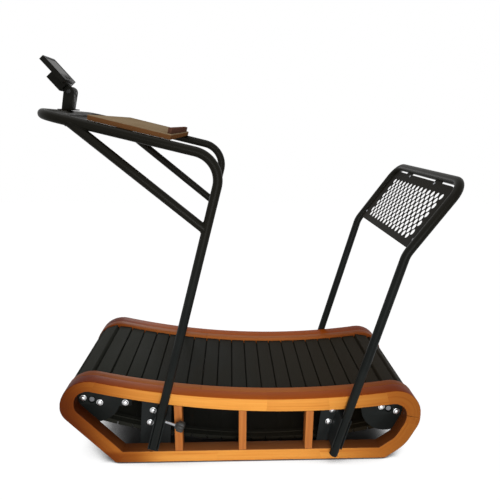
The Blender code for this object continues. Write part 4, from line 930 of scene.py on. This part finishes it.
class BeltLine:
    # the slats' inner faces: dished deck, two wraps and the hanging lower run
    def __init__(self, b):
        self.wrap = b["pulley"] + b["clearance"] + b["bandThickness"]
        self.topCenter = Vector((outline["deckLow"][0], outline["deckLow"][1] + outline["deckRadius"]))
        self.topRadius = outline["deckRadius"] + b["drop"] + b["thickness"]
        self.front = self.axle(b["axleFront"])
        self.rear = self.axle(b["axleRear"])
        between = self.rear - self.front
        middle = (self.front + self.rear) / 2
        half = between.length / 2
        sag = middle.y - b["lowerRun"] - self.wrap
        reach = (half ** 2 + sag ** 2) / (2 * sag)
        upward = Vector((-between.y, between.x)).normalized()
        self.lowCenter = middle + upward * (reach - sag)
        self.lowRadius = reach + self.wrap

    def axle(self, x):
        reach = self.topRadius + self.wrap
        return Vector((x, self.topCenter.y - math.sqrt(reach ** 2 - (x - self.topCenter.x) ** 2)))

    def arcs(self):
        def heading(center, point):
            return math.atan2(point.y - center.y, point.x - center.x)
        topFront, topRear = heading(self.topCenter, self.front), heading(self.topCenter, self.rear)
        lowFront, lowRear = heading(self.lowCenter, self.front), heading(self.lowCenter, self.rear)
        return [(self.topCenter, self.topRadius, topFront, topRear, -1.0),
                (self.rear, self.wrap, topRear + math.pi, lowRear, 1.0),
                (self.lowCenter, self.lowRadius, lowRear, lowFront, 1.0),
                (self.front, self.wrap, lowFront + 2 * math.pi, topFront + math.pi, 1.0)]

    def length(self):
        return sum(abs(end - start) * radius for _, radius, start, end, _ in self.arcs())

    def at(self, distance):
        # the point that far along the belt, and the way out from it
        for center, radius, start, end, outward in self.arcs():
            length = abs(end - start) * radius
            if distance <= length:
                angle = start + (end - start) * distance / length
                spoke = Vector((math.cos(angle), math.sin(angle)))
                return center + spoke * radius, spoke * outward
            distance -= length
        return self.at(distance)


def slatSection(b, pitch):
    # a rounded tread on a wider body that nearly meets the next one, in (run, rise)
    body = (pitch - b["bodyGap"]) / 2
    half = (pitch - b["slatGap"]) / 2
    top = half - b["taper"]
    step = b["thickness"] - b["grooveDepth"]
    corners = []
    for sign in (1, -1):
        side = [(Vector((sign * body, 0.0)), b["softBody"]), (Vector((sign * body, step)), b["softStep"]),
                (Vector((sign * half, step)), 0.0), (Vector((sign * top, b["thickness"])), b["softEdge"])]
        corners += side if sign > 0 else side[::-1]
    return fillet(corners, 25.0)


def slatMesh(b, pitch):
    # one slat, lying along Y with its tread up
    half = outline["halfWidth"] - outline["depth"] - railSizes["width"] - b["endClearance"]
    soft = b["softEnd"]
    shape = bmesh.new()
    rings = []
    for y, shrink in ((-half, soft), (-half + soft, 0.0), (half - soft, 0.0), (half, soft)):
        ring = []
        for point in slatSection(b, pitch):
            run = point.x * (1 - 2 * shrink / pitch)
            rise = min(point.y, b["thickness"] - shrink)
            ring.append(shape.verts.new((run, y, rise)))
        rings.append(ring)
    size = len(rings[0])
    for low, high in zip(rings, rings[1:]):
        for k in range(size):
            shape.faces.new((low[k], low[(k + 1) % size], high[(k + 1) % size], high[k]))
    shape.faces.new(rings[0])
    shape.faces.new(rings[-1])
    mesh = tidied(shape, "slat_pattern")
    mesh.shade_smooth()
    return mesh


def beltRoute(line, total, start, samples=1200):
    # the slats' path as a fine closed line, starting in the middle of the first slat
    route = bmesh.new()
    points = []
    for i in range(samples):
        place = line.at((start + total * i / samples) % total)[0]
        points.append(route.verts.new((place.x + stand.x, 0.0, place.y + stand.z)))
    for i in range(samples):
        route.edges.new((points[i], points[(i + 1) % samples]))
    return asMesh(route, "belt_route")


def beltBand(line, b, total, y, steps=240):
    # one endless band under the slats' ends
    shape = bmesh.new()
    rings = []
    for i in range(steps):
        place, outward = line.at(total * i / steps)
        ring = []
        for across, rise in ((-1, b["bandSeat"]), (1, b["bandSeat"]), (1, -b["bandThickness"]),
                             (-1, -b["bandThickness"])):
            spot = place + outward * rise
            edge = y + across * b["bandWidth"] / 2
            ring.append(shape.verts.new((spot.x + stand.x, edge, spot.y + stand.z)))
        rings.append(ring)
    for i in range(steps):
        here, ahead = rings[i], rings[(i + 1) % steps]
        for k in range(4):
            shape.faces.new((here[k], here[(k + 1) % 4], ahead[(k + 1) % 4], ahead[k]))
    return tidied(shape, "band")


def makeBelt():
    b = beltSizes
    line = BeltLine(b)
    total = line.length()
    count = round(total / b["slatPitch"])
    pitch = total / count
    slat = placed("slat_pattern", slatMesh(b, pitch))
    host = placed("belt_route", beltRoute(line, total, b["phase"] + 0.5 * pitch))
    g = Growth("slats_on_route", [("slat count", "Int"), ("slat", "Object")])
    curve = g.node("GeometryNodeMeshToCurve", values={0: g.given("Geometry")})
    even = g.node("GeometryNodeResampleCurve", values={"Curve": curve, "Count": g.given("slat count")})
    tangent = g.node("GeometryNodeInputTangent")
    facing = g.node("FunctionNodeAlignRotationToVector", {"axis": "X", "pivot_axis": "Y"},
                    {"Vector": tangent})
    pattern = g.node("GeometryNodeObjectInfo", values={"Object": g.given("slat")}, output=4)
    spread = g.node("GeometryNodeInstanceOnPoints", values={"Points": even, "Instance": pattern,
                                                            "Rotation": facing})
    g.close(spread, finishes["rubber"])
    slats = g.grow(host, {"slat count": count, "slat": slat})
    bpy.data.objects.remove(slat)
    bandY = outline["halfWidth"] - outline["depth"] - b["bandInset"]
    bands = [beltBand(line, b, total, sign * bandY) for sign in (-1, 1)]
    show("slatBelt", joined("slatBelt", [slats, *bands]), finishes["rubber"], "frame",
         ("slat_belt",), 40)
    print("slat belt:", count, "slats at", round(pitch * 1000, 2), "mm")


# tubes of the desk and the hoop

tubeSizes = {"radius": 0.019, "offset": 0.003, "lean": 0.252, "footX": -0.422, "clampBottom": 0.088,
             "clampStop": 0.0063, "bendX": -0.0806, "bend": 0.110, "noseX": -0.768, "noseCorner": 0.090,
             "braceLow": 1.074, "braceHighX": -0.655, "braceRadius": 0.0185, "braceInset": 0.008}
weldSizes = {"bead": 0.0032, "steps": 40, "ripple": 0.8}
hoopSizes = {"footX": 0.396, "lean": 0.266, "footZ": 0.045, "bendZ": 0.975, "topX": 0.863, "topZ": 1.266,
             "bend": 0.120, "corner": 0.075}
plugSizes = {"sink": 0.0063, "height": 0.006, "rim": 0.003, "shoulder": 0.95, "shoulderRise": 0.0012,
             "face": 0.80}


def lifted(x, y, z):
    return Vector((x + stand.x, y, z + stand.z))


def tubeLine():
    return outline["halfWidth"] + tubeSizes["offset"] + tubeSizes["radius"]


def deskCorner():
    t = tubeSizes
    return Vector((t["bendX"], (t["bendX"] - t["footX"]) / t["lean"]))


def deskLine(x):
    corner = deskCorner()
    return corner.y - deskSlope * (x - corner.x)


def bentPath(foot, bend, far, bendRadius, farRadius):
    # up one side of the machine, across it and down the other side
    y = tubeLine()
    half = ((foot, 0.0), (bend, bendRadius), (far, farRadius))
    corners = [(lifted(place.x, -y, place.y), radius) for place, radius in half]
    corners += [(lifted(place.x, y, place.y), radius) for place, radius in reversed(half)]
    return fillet(corners, 4.0, closed=False)


def weldBead(spot, axis, stem):
    # a rippled bead round the end of a brace that meets a tube
    w = weldSizes
    tubeRadius, braceRadius = tubeSizes["radius"], tubeSizes["braceRadius"]
    across = stem.cross(axis).normalized()
    over = axis.cross(across)
    # the way along the brace, seen down the tube
    slide = axis - stem * axis.dot(stem)
    out = slide.normalized()
    points = []
    for i in range(w["steps"]):
        angle = 2 * math.pi * i / w["steps"]
        offset = across * (braceRadius * math.cos(angle)) + over * (braceRadius * math.sin(angle))
        rise = math.sqrt(max(tubeRadius ** 2 - offset.dot(across) ** 2, 0.0))
        flat = offset - stem * offset.dot(stem)
        # the rim point slides along the brace until it lies on the tube
        reach = (rise - flat.dot(out)) / slide.length
        points.append(spot + offset + axis * reach)
    curve = polyline("weld", points, cyclic=True)
    curve.bevel_depth = w["bead"]
    curve.bevel_resolution = 2
    for i, point in enumerate(curve.splines[0].points):
        point.radius = 1.0 if i % 2 else w["ripple"]
    return taken(placed("weld", curve))


def makeDeskTubes():
    t = tubeSizes
    y = tubeLine()
    along = Vector((t["lean"], 1.0)).normalized()
    foot = Vector((t["footX"] + t["lean"] * t["clampBottom"], t["clampBottom"])) + along * t["clampStop"]
    nose = Vector((t["noseX"], deskLine(t["noseX"])))
    mesh = tube("deskTube", bentPath(foot, deskCorner(), nose, t["bend"], t["noseCorner"]), t["radius"])
    show("deskTube", mesh, finishes["tube"], "desk", ("desk_frame",), 50)
    low = Vector((t["footX"] + t["lean"] * t["braceLow"], t["braceLow"]))
    high = Vector((t["braceHighX"], deskLine(t["braceHighX"])))
    rail = Vector((1.0, 0.0, -deskSlope)).normalized()
    stem = Vector((t["lean"], 0.0, 1.0)).normalized()
    for side, sign in sides:
        start, end = lifted(low.x, sign * y, low.y), lifted(high.x, sign * y, high.y)
        axis = (end - start).normalized()
        inset = axis * t["braceInset"]
        mesh = tube(f"{side}Brace", [start + inset, end - inset], t["braceRadius"])
        beads = [weldBead(start, axis, stem), weldBead(end, -axis, rail)]
        show(f"{side}Brace", joined(f"{side}Brace", [mesh, *beads]), finishes["tube"], "desk",
             (f"{side}_brace",), 50)
    print("desk tubes ready")


def hoopPlaces():
    h = hoopSizes
    foot = Vector((h["footX"] + h["lean"] * h["footZ"], h["footZ"]))
    bend = Vector((h["footX"] + h["lean"] * h["bendZ"], h["bendZ"]))
    return foot, bend, Vector((h["topX"], h["topZ"]))


def makeHoop():
    h, p = hoopSizes, plugSizes
    foot, bend, top = hoopPlaces()
    radius = tubeSizes["radius"]
    mesh = tube("hoopTube", bentPath(foot, bend, top, h["bend"], h["corner"]), radius)
    show("hoopTube", mesh, finishes["tube"], "frame", ("rear_hoop",), 50)
    along = Vector((h["lean"], 0.0, 1.0)).normalized()
    profile = [(0.0, 0.0), (radius * p["face"], 0.0), (radius * p["shoulder"], p["shoulderRise"]),
               (radius, p["rim"]), (radius, p["height"]), (0.0, p["height"])]
    for side, sign in sides:
        name = f"{side}_hoop_cap"
        at = lifted(foot.x, sign * tubeLine(), foot.y) - along * p["sink"]
        show(f"{side}HoopPlug", turned(name, profile, at, along), finishes["plastic"],
             "frame", (name,))
    print("hoop ready")


# lean panel

panelSizes = {"thickness": 0.003, "low": 0.024, "high": 0.330, "corner": 0.055, "lowCorner": 0.012,
              "tabY": 0.172, "tabWidth": 0.072, "tabCorner": 0.004, "hole": 0.0145, "holeSides": 20,
              "pitch": 0.0445, "rowPitch": 0.0228, "rows": 10, "columns": 14, "topMargin": 0.056,
              "gap": 0.0003}
screwSizes = {"radius": 0.0062, "height": 0.0026, "rim": 0.0010, "crown": (0.7, 0.85),
              "seats": ((0.148, 0.321), (0.343, 0.066))}


def panelCorners(tabTop):
    # the sheet in its own plane: a rounded rectangle with two tabs up to the hoop
    p = panelSizes
    half = tubeLine() - tubeSizes["radius"] - p["gap"]
    corners = [(Vector((-half, p["low"])), p["lowCorner"]), (Vector((half, p["low"])), p["lowCorner"]),
               (Vector((half, p["high"])), p["corner"])]
    for sign in (1, -1):
        inner = sign * p["tabY"] - p["tabWidth"] / 2
        outer = sign * p["tabY"] + p["tabWidth"] / 2
        corners += [(Vector((outer, p["high"])), 0.0), (Vector((outer, tabTop)), p["tabCorner"]),
                    (Vector((inner, tabTop)), p["tabCorner"]), (Vector((inner, p["high"])), 0.0)]
    corners.append((Vector((-half, p["high"])), p["corner"]))
    return corners


def perforated(host):
    # the outline with its staggered holes cut and a thickness given
    p = panelSizes
    g = Growth("perforated_sheet", [("columns", "Int"), ("rows", "Int"), ("pitch", "Float"),
                                    ("row pitch", "Float"), ("hole radius", "Float"), ("top row", "Float"),
                                    ("thickness", "Float")])
    pitch, rowPitch = g.given("pitch"), g.given("row pitch")
    width = (g.given("columns") - 1.0) * pitch
    height = (g.given("rows") - 1.0) * rowPitch
    grid = g.node("GeometryNodeMeshGrid", values={"Size X": width, "Size Y": height,
                                                  "Vertices X": g.given("columns"),
                                                  "Vertices Y": g.given("rows")})
    # every second row loses its last hole and moves by half a pitch
    x, y = g.parts(g.node("GeometryNodeInputPosition"))[:2]
    short = ((height / 2 - y) / rowPitch + 0.5) % 2.0 > 1.0
    last = short * (x > width / 2 - pitch / 2)
    kept = g.node("GeometryNodeDeleteGeometry", {"domain": "POINT"}, {"Geometry": grid, "Selection": last})
    offset = g.vector(short * pitch / 2, g.given("top row") - height / 2, 0.0)
    moved = g.node("GeometryNodeSetPosition", values={"Geometry": kept, "Offset": offset})
    ring = g.node("GeometryNodeCurvePrimitiveCircle", values={"Resolution": p["holeSides"],
                                                              "Radius": g.given("hole radius")})
    holes = g.node("GeometryNodeInstanceOnPoints", values={"Points": moved, "Instance": ring})
    real = g.node("GeometryNodeRealizeInstances", values={0: holes})
    sheet = g.node("GeometryNodeFillCurve", values={"Curve": g.join(g.given("Geometry"), real)})
    lift = g.vector(0.0, 0.0, g.given("thickness"))
    grown = g.node("GeometryNodeExtrudeMesh", values={"Mesh": sheet, "Offset": lift, "Offset Scale": 1.0,
                                                      "Individual": False})
    base = g.node("GeometryNodeFlipFaces", values={0: sheet})
    closed = g.node("GeometryNodeMergeByDistance", values={0: g.join(grown, base), "Distance": 0.00002})
    g.close(closed, finishes["panel"])
    return g.grow(host, {"columns": p["columns"], "rows": p["rows"], "pitch": p["pitch"],
                         "row pitch": p["rowPitch"], "hole radius": p["hole"],
                         "top row": p["high"] - p["topMargin"], "thickness": p["thickness"]})


def makePanel():
    p, w = panelSizes, screwSizes
    bend, top = hoopPlaces()[1:]
    rise = (top - bend).normalized()
    tabTop = (top - bend).length - tubeSizes["radius"] - p["gap"]
    edge = polyline("panel_outline", fillet(panelCorners(tabTop), 10.0), cyclic=True)
    sheet = perforated(placed("panel_outline", edge))
    across = Vector((0.0, 1.0, 0.0))
    upward = Vector((rise.x, 0.0, rise.y))
    facing = across.cross(upward)
    turn = Matrix((across, upward, facing)).transposed().to_4x4()
    seat = lifted(bend.x, 0.0, bend.y)
    face = p["thickness"] / 2
    shape = bmesh.new()
    shape.from_mesh(sheet)
    centered = Matrix.Translation((0.0, 0.0, -face))
    bmesh.ops.transform(shape, matrix=Matrix.Translation(seat) @ turn @ centered, verts=shape.verts)
    show("leanPanel", tidied(shape, "leanPanel"), finishes["panel"], "frame",
         ("lean_panel",), 30)
    crownRadius, crownHeight = w["radius"] * w["crown"][0], w["height"] * w["crown"][1]
    half = [(w["radius"], face), (w["radius"], face + w["rim"]), (crownRadius, face + crownHeight),
            (0.0, face + w["height"])]
    screws = [turned("screw", mirrored(half), seat + across * sign * y + upward * along, facing, steps=20)
              for y, along in w["seats"] for sign in (1, -1)]
    show("panelScrews", joined("panelScrews", screws), finishes["bearing"], "frame")
    print("lean panel ready")


# steel parts, housings and small pieces: the solids' shapes with worked edges

bodyOf = {node: body for body, nodes in frame["record"]["behaviour"]["bodies"].items() for node in nodes}
# piece: nodes, edge width, segments, finish, slot
edgedPieces = {
    "frontSidePlates": ([f"front_{side}_side_plate" for side in bothSides],
                        0.0008, 2, "plate", "black_steel"),
    "rearSidePlates": ([f"rear_{side}_side_plate" for side in bothSides],
                       0.0008, 2, "plate", "black_steel"),
    "uprightClamps": ([f"{side}_upright_clamp" for side in bothSides],
                      0.0010, 2, "clamp", "black_steel"),
    "hoopClamps": ([f"{side}_hoop_clamp" for side in bothSides],
                   0.0010, 2, "clamp", "black_steel"),
    "bearingHousings": ([f"{end}_{side}_bearing_housing" for end in bothEnds for side in bothSides],
                        0.0012, 2, "chassis", "black_steel"),
    "bearingRails": ([f"{side}_bearing_rail" for side in bothSides],
                     0.0006, 1, "chassis", "black_steel"),
    "crossMembers": ([f"{place}_cross_member" for place in ("front", "middle", "rear")],
                     0.0010, 2, "chassis", "black_steel"),
    "feet": ([f"{end}_{side}_foot" for end in bothEnds for side in bothSides],
             0.0015, 2, "foot", "soft_rubber"),
    "deskBoard": (["desk_board"], 0.0012, 2, "boardWood", "desk_wood"),
    "deskLedge": (["desk_ledge"], 0.0010, 2, "ledgeWood", "edge_wood"),
    "postShoe": (["post_shoe"], 0.0008, 2, "panel", "black_tube"),
    "consolePost": (["console_post"], 0.0020, 3, "plastic", "black_tube"),
    "consoleShell": (["console_shell"], 0.0030, 3, "plastic", "black_plastic"),
    "consoleBezel": (["console_bezel"], 0.0009, 2, "grey", "grey_plastic"),
    "consoleScreen": (["console_screen"], 0.0004, 1, "glass", "screen_glass"),
    "modeKey": (["mode_key"], 0.0012, 2, "key", "key_plastic"),
    "resetKey": (["reset_key"], 0.0012, 2, "key", "key_plastic"),
}


def makeEdgedPieces():
    for name, (nodes, width, segments, finish, slot) in edgedPieces.items():
        mesh = joined(name, [softened(node, width, segments) for node in nodes])
        show(name, mesh, finishes[finish], bodyOf[nodes[0]], nodes)
    print("edged pieces:", len(edgedPieces))


# axles and pulleys

drumSizes = {"axle": 0.0125, "axleReach": 0.2931, "chamfer": 0.0012, "pulleyWidth": 0.030, "rim": 0.010,
             "recess": 0.010, "hub": 0.024, "bore": 0.0128, "softEdge": 0.0012}


def makeDrums():
    d, b = drumSizes, beltSizes
    line = BeltLine(b)
    bandY = outline["halfWidth"] - outline["depth"] - b["bandInset"]
    axle, reach, cut = d["axle"], d["axleReach"], d["chamfer"]
    axleProfile = mirrored([(axle, reach - cut), (axle - cut, reach), (0.0, reach)])
    half, soft, hub, outer = d["pulleyWidth"] / 2, d["softEdge"], d["hub"], b["pulley"]
    rim = outer - d["rim"]
    web = half - d["recess"]
    pulleyProfile = [(d["bore"], half), (hub - soft, half), (hub, half - soft), (hub + soft, web),
                     (rim - soft, web), (rim, half - soft), (rim + soft, half), (outer - soft, half),
                     (outer, half - soft), (outer, soft - half), (outer - soft, -half), (d["bore"], -half),
                     (d["bore"], half)]
    for end, center in (("front", line.front), ("rear", line.rear)):
        place = lifted(center.x, 0.0, center.y)
        show(f"{end}Axle", turned("axle", axleProfile, place, (0, 1, 0), steps=48), finishes["bearing"],
             f"{end}_drum", (f"{end}_axle",))
        meshes = []
        for sign in (-1, 1):
            place = lifted(center.x, sign * bandY, center.y)
            meshes.append(turned("pulley", pulleyProfile, place, (0, -sign, 0), steps=64))
        show(f"{end}Pulleys", joined("pulleys", meshes), finishes["plastic"], f"{end}_drum",
             [f"{end}_{side}_pulley" for side in bothSides])
    print("drums ready")


# bolts on the plates and clamps

boltSizes = {"radius": 0.0122, "height": 0.0100, "washer": 0.0150, "washerHeight": 0.0014, "washerRim": 0.7,
             "washerEdge": 0.0005, "skirt": 0.002, "crownSteps": 6, "face": 0.2997,
             "housingPitch": 0.072, "housingTilt": 0.012, "armEnd": -0.500, "armHeight": 0.091,
             "armSetback": 0.029, "armRise": 0.016, "clampOffset": 0.040, "clampRises": (0.132, 0.069),
             "hoopClampBottom": 0.078}


def boltPlaces():
    # (x, z) of each bolt head, the same on both sides of the machine
    s, line = boltSizes, BeltLine(beltSizes)
    places = []
    for center in (line.front, line.rear):
        reach = Vector((s["housingPitch"] / 2, -s["housingTilt"]))
        places += [center - reach, center + reach]
    armLow = deckHeight(s["armEnd"]) - railSizes["height"] - s["armHeight"]
    places.append(Vector((s["armEnd"] - s["armSetback"], armLow + s["armRise"])))
    for footX, lean, low in ((tubeSizes["footX"], tubeSizes["lean"], tubeSizes["clampBottom"]),
                             (hoopSizes["footX"], hoopSizes["lean"], s["hoopClampBottom"])):
        along = Vector((lean, 1.0)).normalized()
        across = Vector((-along.y, along.x))
        foot = Vector((footX + lean * low, low))
        places += [foot + along * rise + across * s["clampOffset"] for rise in s["clampRises"]]
    return places


def makeBolts():
    s = boltSizes
    shape = bmesh.new()
    for sign in (-1, 1):
        for place in boltPlaces():
            shape.verts.new(lifted(place.x, sign * s["face"], place.y))
    host = placed("bolt_places", asMesh(shape, "bolt_places"))
    foot = s["washerHeight"] + s["skirt"]
    profile = [(0.0, 0.0), (s["washer"], 0.0), (s["washer"], s["washerHeight"] * s["washerRim"]),
               (s["washer"] - s["washerEdge"], s["washerHeight"]), (s["radius"], s["washerHeight"]),
               *domed(s["radius"], foot, s["height"] - foot, s["crownSteps"])]
    bolt = placed("bolt_pattern", turned("bolt", profile, (0.0, 0.0, 0.0), (0, 0, 1), steps=20))
    g = Growth("bolts_on_plates", [("bolt", "Object")])
    y = g.parts(g.node("GeometryNodeInputPosition"))[1]
    facing = g.node("FunctionNodeAlignRotationToVector", {"axis": "Z"}, {"Vector": g.vector(0.0, y, 0.0)})
    pattern = g.node("GeometryNodeObjectInfo", values={"Object": g.given("bolt")}, output=4)
    spread = g.node("GeometryNodeInstanceOnPoints", values={"Points": g.given("Geometry"),
                                                            "Instance": pattern, "Rotation": facing})
    g.close(spread, finishes["chrome"])
    bolts = g.grow(host, {"bolt": bolt})
    bpy.data.objects.remove(bolt)
    show("plateBolts", bolts, finishes["chrome"], "frame")
    print("bolts:", 2 * len(boltPlaces()))


# lock knobs and the console's pin

# "grip" is the grip's profile, as radii and heights above its foot
knobSizes = {"height": 0.148, "turnOut": 12.0, "distance": 0.072, "lobes": 7, "lobeDepth": 0.0035,
             "lobeSpan": (0.009, 0.036), "stud": 0.006, "studGap": 0.0012, "studEdge": 0.0008,
             "studEnd": 0.001,
             "grip": ((0.0, 0.0), (0.014, 0.0), (0.015, 0.001), (0.015, 0.006), (0.022, 0.010),
                      (0.024, 0.013), (0.024, 0.022), (0.024, 0.030), (0.0228, 0.034), (0.020, 0.0375),
                      (0.017, 0.039), (0.0102, 0.0398), (0.0, 0.040))}
pinSizes = {"postWidth": 0.060, "gap": 0.0003, "radius": 0.005, "head": 0.0095, "headHeight": 0.004,
            "skirt": 0.0012, "crownSteps": 5}


def makeKnobs():
    k, t = knobSizes, tubeSizes
    along = Vector((t["lean"], 1.0)).normalized()
    turn = math.radians(k["turnOut"])
    seat = Vector((t["footX"] + t["lean"] * t["clampBottom"], t["clampBottom"])) + along * k["height"]
    near, far = t["radius"] + k["studGap"], k["distance"]
    grip = [(radius, far + height) for radius, height in k["grip"]]
    lobeSpan = [far + height for height in k["lobeSpan"]]
    studTop = far + k["studEnd"]
    stud = [(0.0, near), (k["stud"] - k["studEdge"], near), (k["stud"], near + k["studEdge"]),
            (k["stud"], studTop), (0.0, studTop)]
    for side, sign in sides:
        axis = Vector((along.y * math.cos(turn), sign * math.sin(turn), -along.x * math.cos(turn)))
        start = lifted(seat.x, sign * tubeLine(), seat.y)
        handle = turned("grip", grip, start, axis, 70, k["lobes"], k["lobeDepth"], lobeSpan)
        show(f"{side}KnobGrip", handle, finishes["grip"], f"{side}_knob",
             (f"{side}_lock_knob",), 50)
        rod = turned("stud", stud, start, axis)
        show(f"{side}KnobStud", rod, finishes["bearing"], f"{side}_knob")
    print("knobs ready")


def makePin():
    p = pinSizes
    low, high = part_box("console_pivot_bolt")
    base = p["postWidth"] / 2 + p["gap"]
    half = [(p["radius"], base), (p["head"], base),
            *domed(p["head"], base + p["skirt"], p["headHeight"] - p["skirt"], p["crownSteps"])]
    mesh = turned("pin", mirrored(half), (low + high) / 2, (0, 1, 0))
    show("consolePin", mesh, finishes["grip"], "desk", ("console_pivot_bolt",))
    print("pin ready")


makeCamera(cameraSizes)
makeStudio(studioSizes)
makeSideFrames()
makeDeckRails()
makeDividers()
makeBelt()
makeDeskTubes()
makeHoop()
makePanel()
makeEdgedPieces()
makeDrums()
makeBolts()
makeKnobs()
makePin()
